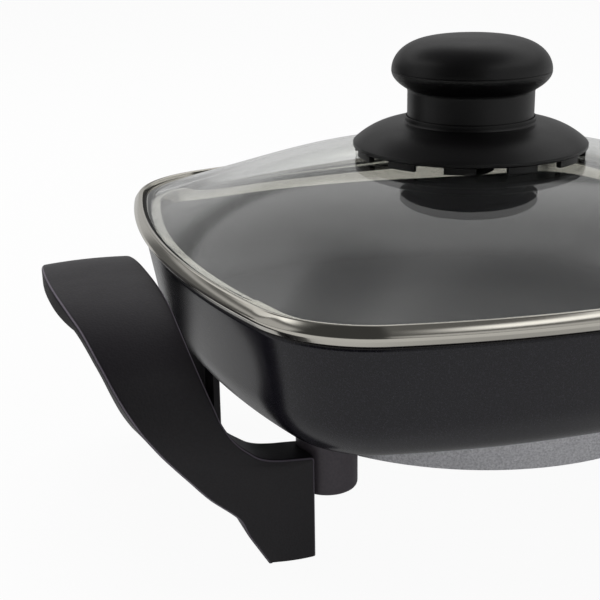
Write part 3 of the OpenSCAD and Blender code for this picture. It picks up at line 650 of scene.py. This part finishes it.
def wall_outside(deep):
    """One side of the channel from its wall's rim over the fillet: offsets into the sheet, and depths."""
    offset = np.concatenate([[LIP_EASE, 0, 0], RIM_FILLET * (1 - np.cos(quarter_turn))])
    fillet = np.broadcast_to(RIM_FILLET * (1 - np.sin(quarter_turn)), (len(deep), len(quarter_turn)))
    deep = deep[:, None]
    middle = (deep - LIP_EASE + RIM_FILLET) / 2
    return offset, np.concatenate([deep, deep - LIP_EASE, middle, fillet], 1)


def wall_inside(deep):
    """The hollow's side from its ceiling round a small fillet and down to the wall's rim."""
    offset = np.concatenate([SHELL + INNER_FILLET * (1 - np.sin(quarter_turn)), [SHELL]])
    ease = SHELL + INNER_FILLET * (1 - np.cos(quarter_turn))
    fillet = np.broadcast_to(ease, (len(deep), len(quarter_turn)))
    return offset, np.concatenate([fillet, deep[:, None]], 1)


def wall_part(edge, into, wall, order):
    """A wall along one edge, in the given order of its points: sheet points, depths and marks."""
    offset, depth = wall(depth_at(edge[:, 1]))
    line = edge[:, None] + into[:, None] * offset[None, :, None]
    mark = np.zeros(len(offset))
    # The outer wall's fillet is marked, and the finish paints a paler highlight there.
    if wall is wall_outside:
        mark[RIM_LINE] = 1
    return line[:, ::order], depth[:, ::order], mark[::order]


def strap_points():
    """Closed channel section at every step: outer wall, crowned face, inner wall and the hollow behind them.
    Also gives a mark for each point."""
    outer_in, inner_in = side_of(outer_edge, -1), side_of(inner_edge, 1)
    across = np.linspace(0, 1, FACE_STEPS)[None, 1:-1, None]
    a, b = outer_edge + outer_in * RIM_FILLET, inner_edge + inner_in * RIM_FILLET
    face = a[:, None] * (1 - across) + b[:, None] * across
    crown = np.broadcast_to(-CROWN * (1 - (2 * across[..., 0] - 1) ** 2), face.shape[:2])
    lines, depths, marks = zip(
        wall_part(outer_edge, outer_in, wall_outside, 1),
        (face, crown, np.zeros(face.shape[1])),
        wall_part(inner_edge, inner_in, wall_outside, -1),
        wall_part(inner_edge, inner_in, wall_inside, -1),
        wall_part(outer_edge, outer_in, wall_inside, 1))
    sheet, depth = np.concatenate(lines, 1), np.concatenate(depths, 1)
    half = bent(sheet[..., 0], sheet[..., 1], depth)
    points = np.concatenate([half, half[-2::-1] * (1, -1, 1)])
    return points, np.broadcast_to(np.concatenate(marks), points.shape[:2])


strap, strap_rims = strap_points()
print("strap:", strap.shape[0], "steps of", strap.shape[1], "points")

# %% [markdown]
# Behind each leg stands a round post with a screw in it, and a small block closes the leg's hollow above the
# pad. The right handle is the left one mirrored, and its faces are turned outwards again when the mesh is
# tidied.

# %% Handles
POST_R = 9.5
POST_LOW = UNDER_Z - 22.0
POST_TOP = UNDER_Z - 3.0
POST_STEPS = 96
BORE_Z = UNDER_Z - BOSS_DEPTH - 0.2
HEAD_Z = POST_LOW + 8
SCREW_R = 2.1
PLUG_IN, PLUG_HALF, PLUG_ROUND = 1.5, 6.2, 1.2
PLUG_LOW, PLUG_TOP = PAD + 0.2, PAD + 7

# From the screw head's recess round the outside, and down the bores for the boss and the screw.
post_profile = rounded(
    [(SCREW_R + 2.6, POST_LOW), (POST_R, POST_LOW), (POST_R + 0.05, POST_TOP), (BOSS_R + 0.2, POST_TOP),
     (BOSS_R + 0.2, BORE_Z), (SCREW_R + 0.3, BORE_Z), (SCREW_R + 0.3, HEAD_Z), (SCREW_R + 2.6, HEAD_Z)],
    [0.6, 1.6, 0.4, 0.4, 0.2, 0.2, 0.2, 0.2])
foot_mid = LEG_Y - LEG_DEPTH / 2


def block(low, high, size):
    """A box with rounded upright edges and eased ends: one rounded outline at four heights, drawn in at both
    ends."""
    (x0, y0, z0), (x1, y1, z1) = low, high
    rows = []
    for z, inset in ((z0, size / 2), (z0 + size / 2, 0), (z1 - size / 2, 0), (z1, size / 2)):
        left, right, front, rear = x0 + inset, x1 - inset, y0 + inset, y1 - inset
        plan = rounded([(left, front), (right, front), (right, rear), (left, rear)], size)
        rows.append(np.concatenate([plan, np.full((len(plan), 1), z)], 1))
    return capped(np.stack(rows))


def plug(sy):
    """The block in the foot of the front (-1) or the rear (1) leg."""
    low = (-LEG_IN - FOOT_W + PLUG_IN, sy * foot_mid - PLUG_HALF, PLUG_LOW)
    high = (-LEG_IN - PLUG_IN, sy * foot_mid + PLUG_HALF, PLUG_TOP)
    return block(low, high, PLUG_ROUND)


def mirrored(shape, sign):
    """The same shape on the left (1) or on the right (-1)."""
    points, faces = shape
    return points * (sign, 1, 1), faces


strap_shapes = [capped(strap)] + [plug(sy) for sy in (-1, 1)]
post_shapes = [revolve(post_profile, (-POST_X, sy * POST_Y), POST_STEPS) for sy in (-1, 1)]
for side, sign in (("left", 1), ("right", -1)):
    piece(side + "_strap", [mirrored(shape, sign) for shape in strap_shapes],
          "skillet", "handle_moulding", [side + "_handle"], strap_rims)
    piece(side + "_posts", [mirrored(shape, sign) for shape in post_shapes], "skillet", "handle_moulding")

# %% [markdown]
# ## Pieces that keep their CAD shape
# The small fittings already have the right shape. Their meshes come as loose triangles, so a copy is joined
# up, its flat faces are merged, and a small bevel eases the edges the way a mould or a press does.

# %% Eased copies of the small fittings
EASED = {
    "base_casting": 0.25, "heating_tube": 0, "terminal_pins": 0.1, "pin_insulators": 0.3,
    "terminal_guard": 0.2, "guard_screws": 0.15, "post_bushings": 0.3, "handle_screws": 0.2,
    "foot_pads": 0.4, "knob_seal": 0.3, "knob_hub": 0.3, "knob_screw": 0.2, "control_case": 0.7,
    "control_cover": 0.6, "cover_screws": 0.15, "probe": 0, "contact_sleeves": 0.1, "cord_gland": 0.4,
    "lamp_lens": 0.2, "pilot_lamp": 0.2, "thermostat_frame": 0.1, "switch_blade": 0.05, "dial": 0.35,
    "dial_shaft": 0.1, "dial_cam": 0.15}
FLAT = math.radians(1)
BEVEL_STEPS = 2
slot_of = {part["node"]: part["material_slot"] for part in frame["record"]["subparts"]}


def eased(node, width):
    """A joined copy of a CAD node with bevelled edges, in the node's place."""
    mesh = frame["nodes"][node].data.copy()
    work = bmesh.new()
    work.from_mesh(mesh)
    bmesh.ops.remove_doubles(work, verts=work.verts, dist=WELD)
    bmesh.ops.dissolve_limit(work, angle_limit=FLAT, verts=work.verts, edges=work.edges)
    work.to_mesh(mesh)
    work.free()
    shaded(mesh)
    made = placed(node + "_eased", mesh)
    if width:
        bevel = made.modifiers.new("eased_edges", "BEVEL")
        bevel.width = width * MM
        bevel.segments = BEVEL_STEPS
        bevel.limit_method = "ANGLE"
        bevel.angle_limit = SHARP
    made.modifiers.new("even_normals", "WEIGHTED_NORMAL").keep_sharp = True
    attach(made, frame["nodes"][node]["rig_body"])
    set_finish(made, slot_of[node])
    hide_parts(node)


for node, width in EASED.items():
    eased(node, width)
print("fittings:", len(EASED), "eased copies")

# %% [markdown]
# ## Finishes
# Every finish is worked out from the object's own coordinates, so it stays on the piece when the piece
# moves. A small class wraps a shader socket, so that a pattern can be written as ordinary arithmetic; each
# operator adds one node.

# %% Shader arithmetic
MIRROR_LOSS = 0.27


class Value:
    """One shader socket that takes part in Python arithmetic."""

    def __init__(self, finish, socket):
        self.finish = finish
        self.socket = socket

    def math(self, operation, a, b):
        return self.finish.node("ShaderNodeMath", {"operation": operation}, {0: a, 1: b})

    def __add__(self, other):
        return self.math("ADD", self, other)

    def __sub__(self, other):
        return self.math("SUBTRACT", self, other)

    def __rsub__(self, other):
        return self.math("SUBTRACT", other, self)

    def __mul__(self, other):
        return self.math("MULTIPLY", self, other)

    def __pow__(self, other):
        return self.math("POWER", self, other)

    __radd__ = __add__
    __rmul__ = __mul__

    def at_most(self, limit):
        """The value, or the limit where the value is larger."""
        return self.math("MINIMUM", self, limit)


class Shader:
    """The node tree of a material or a world, with one method that adds nodes."""

    def __init__(self, owner):
        owner.use_nodes = True
        self.nodes, self.links = owner.node_tree.nodes, owner.node_tree.links
        self.nodes.clear()

    def node(self, kind, settings, inputs, out=0):
        """Adds one node: settings first, then values or links of its sockets. Gives one of its outputs."""
        made = self.nodes.new(kind)
        for key, value in settings.items():
            setattr(made, key, value)
        for key, value in inputs.items():
            if isinstance(value, Value):
                self.links.new(value.socket, made.inputs[key])
            else:
                made.inputs[key].default_value = value
        return Value(self, made.outputs[out])

    def step(self, value, low, high):
        """0 below low, 1 above high."""
        return self.node("ShaderNodeMapRange", {"clamp": True, "interpolation_type": "SMOOTHSTEP"},
                         {"Value": value, "From Min": low, "From Max": high})

    def dot(self, a, b):
        """The dot product of two vectors."""
        return self.node("ShaderNodeVectorMath", {"operation": "DOT_PRODUCT"}, {0: a, 1: b}, "Value")

    def path(self, *kinds):
        """The sum of these outputs of the Light Path node, 1 at most."""
        return sum(self.node("ShaderNodeLightPath", {}, {}, kind) for kind in kinds).at_most(1.0)

    def seen(self):
        """1 for rays straight from the camera or only through glass, less once they were mirrored or
        scattered, and 0 for all others."""
        bounced = self.path("Glossy Depth", "Diffuse Depth")
        return self.path("Is Camera Ray", "Is Transmission Ray") * (1 - MIRROR_LOSS * bounced)


# %% [markdown]
# A finish is one Principled shader with patterns in front of it. Patterns are noise or cells in the piece's
# own coordinates, and the mark that a mesh may carry for a part of its surface.

# %% Helpers for finishes
MIX_SHARE, MIX_A, MIX_B, MIX_COLOUR = 0, 6, 7, 2


class Finish(Shader):
    """A material around one Principled shader, with helpers for patterns."""

    def __init__(self, name, constants):
        self.material = bpy.data.materials.new(name)
        super().__init__(self.material)
        self.shader = self.nodes.new("ShaderNodeBsdfPrincipled")
        self.output = self.nodes.new("ShaderNodeOutputMaterial")
        self.links.new(self.shader.outputs[0], self.output.inputs["Surface"])
        for socket, value in constants.items():
            self.shader.inputs[socket].default_value = value

    def feed(self, socket, value):
        """Links a value to the Principled shader."""
        self.links.new(value.socket, self.shader.inputs[socket])

    def where(self):
        """The piece's own coordinates, in metres."""
        return self.node("ShaderNodeTexCoord", {}, {}, "Object")

    def mark(self):
        """The mark kept with the mesh: 1 on a strap's rims and inside the pan, else 0."""
        return self.node("ShaderNodeAttribute", {"attribute_name": "mark"}, {}, "Fac")

    def noise(self, size_mm, detail=2.0, rough=0.5, at=None):
        """Cloudy noise whose spots are about size_mm across, from 0 to 1."""
        return self.node("ShaderNodeTexNoise", {}, {"Vector": at or self.where(), "Scale": 1 / (size_mm * MM),
                                                    "Detail": detail, "Roughness": rough})

    def cells(self, size_mm):
        """Distance to the nearest of a scatter of points about size_mm apart."""
        return self.node("ShaderNodeTexVoronoi", {"feature": "F1"},
                         {"Vector": self.where(), "Scale": 1 / (size_mm * MM)})

    def blend(self, share, a, b):
        """Colour a where share is 0, b where it is 1, and further the same way beyond."""
        return self.node("ShaderNodeMix", {"data_type": "RGBA", "clamp_factor": False},
                         {MIX_SHARE: share, MIX_A: (*a, 1), MIX_B: (*b, 1)}, MIX_COLOUR)

    def bump(self, height, depth_mm, strength):
        """Feeds the Normal with a relief of the given depth."""
        self.feed("Normal", self.node("ShaderNodeBump", {}, {
            "Height": height, "Distance": depth_mm * MM, "Strength": strength}))


# %% [markdown]
# The pan has a dark baked coat with fine flakes in it. Outside it is satin, so it shows broad soft
# reflections, and the flakes make it look finely speckled. Inside, where the mesh is marked, the coat is
# rougher and its flakes are faint.

# %% Pan coat
COAT_DARK, COAT_FLAKE = (0.0090, 0.0084, 0.0140), (0.031, 0.029, 0.041)


def pan_coat(name):
    """Charcoal coat: lighter flakes in a dark ground, a slight waviness in the gloss and a fine grain."""
    f = Finish(name, {})
    flakes = f.step(f.noise(0.55, 3, 0.65), 0.50, 0.66)
    cloud = f.noise(22)
    inner = f.mark()
    f.feed("Base Color", f.blend(flakes * (0.8 - 0.7 * inner), COAT_DARK, COAT_FLAKE))
    f.feed("Roughness", 0.18 + 0.07 * cloud + 0.20 * inner)
    f.bump(f.noise(0.5, 2, 0.6), 0.03, 0.5)
    return f.material


# %% [markdown]
# Handles, knob and heat control are moulded from black heat-proof plastic. The straps have a fine
# leather-like grain and a thin painted highlight along their rims, where the mesh is marked. The knob is
# smoother, and the posts have a copy of the moulding several times lighter, as painted light on them.

# %% Black mouldings
RIM_HIGHLIGHT_STEPS = 42


def moulding(name, dark, light, gloss, grain_mm, depth_mm, strength, level=0.5):
    """Black moulding: two close tones in soft clouds, a grain of small cells, an uneven gloss and a painted
    highlight along marked rims, paler by many such steps of tone."""
    f = Finish(name, {"Specular IOR Level": level})
    cloud = f.noise(9, 3, 0.6)
    grain = f.cells(grain_mm) * 0.7 + 0.3 * f.noise(grain_mm * 0.6, 2, 0.6)
    # Marked rims take a painted highlight: a paler line many steps of tone above the black.
    rim_highlight = f.mark()
    f.feed("Base Color", f.blend(0.4 * cloud + 1.2 * grain + RIM_HIGHLIGHT_STEPS * rim_highlight, dark, light))
    f.feed("Roughness", gloss + 0.10 * cloud - 0.06 * grain)
    f.bump(grain, depth_mm, strength)
    return f.material


# %% [markdown]
# Metals differ mostly in how rough they are. The heater base is a bare casting with a coarse sparkling
# grain, the band is polished steel with faint lines along it, and screws and pins are plated.

# %% Metals
CAST_DARK, CAST_BRIGHT = (0.56, 0.56, 0.59), (0.92, 0.92, 0.95)
LINES_MM = 0.35
LINES_STRETCH = (0.12, 0.12, 1)


def bare_casting(name):
    """Silver-grey casting: bright and dark grains, rough, with a pitted relief."""
    f = Finish(name, {"Metallic": 0.65})
    grains = f.step(f.noise(0.7, 4, 0.75), 0.30, 0.70)
    cloud = f.noise(14)
    f.feed("Base Color", f.blend(grains, CAST_DARK, CAST_BRIGHT))
    f.feed("Roughness", 0.56 + 0.12 * cloud)
    f.bump(f.noise(0.7, 3, 0.7), 0.07, 0.5)
    return f.material


def metal(name, colour, shade, gloss):
    """Plain metal: a slight change of tone, and gloss that varies along fine rolled lines."""
    f = Finish(name, {"Metallic": 1.0})
    stretch = f.node("ShaderNodeMapping", {}, {"Vector": f.where(), "Scale": LINES_STRETCH})
    lines = f.noise(LINES_MM, at=stretch)
    cloud = f.noise(12)
    f.feed("Base Color", f.blend(cloud, colour, shade))
    f.feed("Roughness", gloss + 0.05 * lines)
    f.bump(lines, 0.004, 0.25)
    return f.material


# %% [markdown]
# The lid is clear tempered glass: it passes light, bends it a little and mirrors the room near its edges. A
# trace of uneven gloss keeps it from looking like a computer's perfect glass. Rubber is matt and dusty, and
# the small hard pieces have two close tones.

# %% Glass, rubber and the rest
GLASS_IOR = 1.47


def clear_glass(name, tint):
    """Clear glass with a trace of haze."""
    f = Finish(name, {"Base Color": (*tint, 1), "Transmission Weight": 1.0, "IOR": GLASS_IOR})
    f.feed("Roughness", 0.012 * f.noise(30))
    return f.material


def soft_rubber(name, tone):
    """Matt rubber with a dusty variation."""
    f = Finish(name, {"Specular IOR Level": 0.25})
    dust = f.noise(1.2, 3, 0.6)
    f.feed("Base Color", f.blend(dust, tone, tuple(1.8 * c + 0.006 for c in tone)))
    f.feed("Roughness", 0.72 + 0.12 * dust)
    f.bump(f.noise(0.6), 0.03, 0.5)
    return f.material


def plain_part(name, colour, shade, gloss, through=0.0):
    """Small hard piece: two close tones and a fine skin."""
    f = Finish(name, {"Transmission Weight": through})
    cloud = f.noise(2.5, 3, 0.6)
    f.feed("Base Color", f.blend(cloud, colour, shade))
    f.feed("Roughness", gloss + 0.1 * cloud)
    f.bump(f.noise(0.5), 0.01, 0.4)
    return f.material


# %% [markdown]
# One table gives each slot its kind of finish with the values that differ. For a moulding these are two
# tones, the gloss, the size, depth and strength of the grain, and the level of its shine. Metals and plain
# pieces have two tones and a gloss.

# %% Finishes by slot
BLACK, BLACK_LIGHT = (0.0134, 0.0118, 0.0146), (0.0184, 0.0162, 0.0200)
FINISHES = {
    "pan_coat": (pan_coat,),
    "bare_casting": (bare_casting,),
    "tube_sheath": (metal, (0.20, 0.18, 0.17), (0.10, 0.09, 0.09), 0.45),
    "plated_steel": (metal, (0.72, 0.72, 0.73), (0.62, 0.62, 0.64), 0.16),
    "insulator": (plain_part, (0.78, 0.73, 0.64), (0.66, 0.60, 0.52), 0.55),
    "sheet_steel": (metal, (0.50, 0.50, 0.51), (0.40, 0.40, 0.41), 0.32),
    "screw_steel": (metal, (0.58, 0.58, 0.60), (0.46, 0.46, 0.48), 0.28),
    "handle_moulding": (moulding, BLACK, BLACK_LIGHT, 0.44, 0.75, 0.06, 0.6, 0.42),
    "bushing_moulding": (moulding, (0.006, 0.006, 0.007), (0.009, 0.009, 0.010), 0.12, 1.0, 0.01, 0.3),
    "pad_rubber": (soft_rubber, (0.02, 0.02, 0.021)),
    "lid_glass": (clear_glass, (0.963, 0.973, 0.958)),
    "band_steel": (metal, (0.80, 0.77, 0.69), (0.74, 0.71, 0.64), 0.09),
    "seal_rubber": (soft_rubber, (0.03, 0.03, 0.03)),
    "knob_moulding": (
        moulding, (0.0026, 0.0024, 0.0028), (0.0040, 0.0037, 0.0042), 0.37, 0.5, 0.018, 0.4),
    "hub_moulding": (moulding, (0.006, 0.006, 0.006), (0.010, 0.010, 0.010), 0.40, 0.6, 0.02, 0.4),
    "case_moulding": (moulding, BLACK, BLACK_LIGHT, 0.42, 0.75, 0.05, 0.55),
    "contact_brass": (metal, (0.62, 0.44, 0.18), (0.50, 0.34, 0.13), 0.26),
    "gland_rubber": (soft_rubber, (0.012, 0.012, 0.012)),
    "lens_red": (plain_part, (0.60, 0.05, 0.03), (0.48, 0.03, 0.02), 0.08, 0.5),
    "lamp_glass": (clear_glass, (0.95, 0.86, 0.74)),
    "dial_moulding": (
        moulding, (0.0036, 0.0034, 0.0038), (0.0052, 0.0050, 0.0054), 0.36, 0.5, 0.02, 0.4),
    "cam_moulding": (plain_part, (0.66, 0.61, 0.51), (0.58, 0.53, 0.44), 0.5),
    # The posts are the same black moulding as the straps, painted several times lighter: painted light on the
    # posts.
    "post_moulding": (moulding, (0.084, 0.072, 0.086), (0.114, 0.099, 0.116), 0.40, 0.9, 0.02, 0.3),
}
finishes = {name: make(name, *values) for name, (make, *values) in FINISHES.items()}

for made in list(bpy.data.objects):
    slot = made.get("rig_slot") or slot_of.get(made.get("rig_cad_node"))
    if made.type != "MESH" or slot is None:
        continue
    made.data.materials.clear()
    # The posts get the lighter copy of the moulding, which is painted light.
    made.data.materials.append(finishes["post_moulding" if made.name.endswith("_posts") else slot])
print("finishes:", len(finishes))

# %% [markdown]
# ## The studio
# Product shots of black goods are taken in a tent of white cloth, with a dark gap where the camera stands.
# Black plastic shows little more than what it mirrors, so this room, and not the lamp, makes its soft lights.
# The floor is a plain sheet that takes the object's shadow. To the camera, and through the glass, it looks
# white. Mirrors see it at about half of that, with a painted shadow under the pan, and with painted shade
# towards the gap and in one corner at the back left. It could be lit by many lamps, but a formula of the place
# is simpler, and rough pieces aren't lit by it. Each step below is a pair of values: where it starts and where
# it is complete. Steps of distance are squares.

# %% Floor
FLOOR_HALF = 3.0
FLOOR_WHITE = 0.95
FLOOR_CLOTH = (0.9, 0.9, 0.9, 1)
FLOOR_MIRRORED = 0.52
TO_GAP, TO_CORNER = (-0.708, -0.706, 0), (-0.586, 0.810, 0)
GAP_LOSS, GAP_WAY = 0.85, (0.42, 0.62)
PAINTED_SHADOW_LEVEL, PAINTED_SHADOW_WAY = 0.5, (0.07**2, 0.125**2)
CORNER_LOSS, CORNER_TURN, CORNER_WAY = 0.97, (0.945, 0.975), (0.15**2, 0.22**2)

floor_corners = [(sx * FLOOR_HALF, sy * FLOOR_HALF, 0) for sx, sy in ((-1, -1), (1, -1), (1, 1), (-1, 1))]
floor_mesh = bpy.data.meshes.new("floor")
floor_mesh.from_pydata(floor_corners, [], [[0, 1, 2, 3]])
floor = placed("floor", floor_mesh)

sweep = Finish("floor", {"Base Color": FLOOR_CLOTH, "Roughness": 0.9, "Specular IOR Level": 0.1})
place = sweep.where()
before_gap = 1 - GAP_LOSS * sweep.step(sweep.dot(place, TO_GAP), *GAP_WAY)
# Mirrors see the floor darker close to the pan's foot: a painted shadow of the pan.
painted_pan_shadow = PAINTED_SHADOW_LEVEL + (1 - PAINTED_SHADOW_LEVEL) * sweep.step(sweep.dot(place, place), *PAINTED_SHADOW_WAY)
beside = sweep.node("ShaderNodeMapping", {}, {"Vector": place, "Location": (RIM * MM, 0, 0)})
away = sweep.dot(beside, beside)
turned_to = sweep.dot(beside, TO_CORNER) * away ** -0.5
in_corner = 1 - CORNER_LOSS * sweep.step(turned_to, *CORNER_TURN) * sweep.step(away, *CORNER_WAY)
direct = sweep.seen()
mirrored_level = FLOOR_MIRRORED * (1 - direct) * before_gap * painted_pan_shadow * in_corner
glow = sweep.node("ShaderNodeEmission", {}, {"Strength": direct + mirrored_level})
shows = FLOOR_WHITE * sweep.path("Is Camera Ray", "Is Transmission Ray", "Is Glossy Ray")
cloth = Value(sweep, sweep.shader.outputs[0])
cover = sweep.node("ShaderNodeMixShader", {}, {0: shows, 1: cloth, 2: glow})
sweep.links.new(cover.socket, sweep.output.inputs["Surface"])
floor_mesh.materials.append(sweep.material)
print("studio: floor", 2 * FLOOR_HALF, "m wide")

# %% [markdown]
# The world is the tent. Plain panels stand at the sides and the back, a bright strip runs above them, and
# the top is dim. At the back the panels end lower, and the strip starts lower and is weaker. The gap and the
# corner at the back left are dark. The cloths could be modelled and lit, but a formula of the direction is
# exact: it takes the height, and how far the level part turns to the gap, the corner and the right. The
# camera sees plain white, and so does what it sees through the glass.

# %% Room
PANEL, STRIP, TOP = 0.43, 1.08, 0.112
TO_RIGHT = (1, 0, 0)
NOT_ZERO = 1.001
GAP_TURN, GAP_TOP_LOSS = (0.70, 0.85), 0.6
REAR_TURN, REAR_CORNER, REAR_CORNER_TURN = (-0.6, 0.1), 0.6, (0.82, 0.96)
DARK_TURN, DARK_TOP = (0.91, 0.96), (0.19, 0.27)
RIGHT_TURN = (0.0, 0.5)
REAR_DROP, PANEL_TOP = 0.22, (0.48, 0.58)
STRIP_FOOT, STRIP_TOP, STRIP_END = (0.60, 0.66), (0.72, 0.81), (0.42, 0.75)
STRIP_REAR_DROP, STRIP_RIGHT_RISE, STRIP_REAR_LOSS = 0.10, 0.20, 0.47

world = bpy.data.worlds.new("studio")
bpy.context.scene.world = world
room = Shader(world)
look = room.node("ShaderNodeTexCoord", {}, {}, "Generated")
height = room.node("ShaderNodeSeparateXYZ", {}, {0: look}, "Z")
stretch = (NOT_ZERO - height * height) ** -0.5
ahead, aside, to_right = (room.dot(look, way) * stretch for way in (TO_GAP, TO_CORNER, TO_RIGHT))
gap = room.step(ahead, *GAP_TURN)
rear = 1 - room.step(ahead - REAR_CORNER * room.step(aside, *REAR_CORNER_TURN), *REAR_TURN)
corner = room.step(aside, *DARK_TURN) * (1 - room.step(height, *DARK_TOP))
lowered = height + REAR_DROP * rear
panel = (1 - room.step(lowered, *PANEL_TOP)) * (1 - gap) * (1 - corner)
upper = height + rear * (STRIP_REAR_DROP - STRIP_RIGHT_RISE * room.step(to_right, *RIGHT_TURN))
edge = room.step(lowered, *STRIP_FOOT) * (1 - room.step(upper, *STRIP_TOP))
strip = edge * (1 - room.step(ahead, *STRIP_END)) * (1 - STRIP_REAR_LOSS * rear)
tent = TOP * (1 - GAP_TOP_LOSS * gap) + (PANEL - TOP) * panel + STRIP * strip
seen = room.seen()
back = room.node("ShaderNodeBackground", {}, {"Color": (1, 1, 1, 1), "Strength": seen + (1 - seen) * tent})
room_out = room.nodes.new("ShaderNodeOutputWorld")
room.links.new(back.socket, room_out.inputs["Surface"])
print("studio: tent of", len(room.nodes), "nodes")

# %% [markdown]
# One soft lamp above the back of the pan lights what is rough, and gives the shadow on the floor. Mirrors
# and glass don't show it: for them the tent is enough.

# %% Lamp
LAMP_PLACE, LAMP_TARGET = (-0.1, 0.5, 1.2), (0, 0, 0.08)
LAMP_SIZE, LAMP_POWER = 0.9, 9

lamp_data = bpy.data.lights.new("top_lamp", "AREA")
lamp_data.size = LAMP_SIZE
lamp_data.energy = LAMP_POWER
lamp = placed("top_lamp", lamp_data)
lamp_back = np.array(LAMP_PLACE) - LAMP_TARGET
lamp_back /= np.linalg.norm(lamp_back)
lamp_right = np.cross((0, 0, 1), lamp_back)
lamp_right /= np.linalg.norm(lamp_right)
lamp_turn = facing(lamp_right, np.cross(lamp_back, lamp_right), lamp_back)
lamp.matrix_world = Matrix.Translation(LAMP_PLACE) @ lamp_turn
lamp.visible_glossy = lamp.visible_transmission = False
bpy.context.scene.view_settings.view_transform = "Standard"
print("lamp:", LAMP_POWER, "watts")
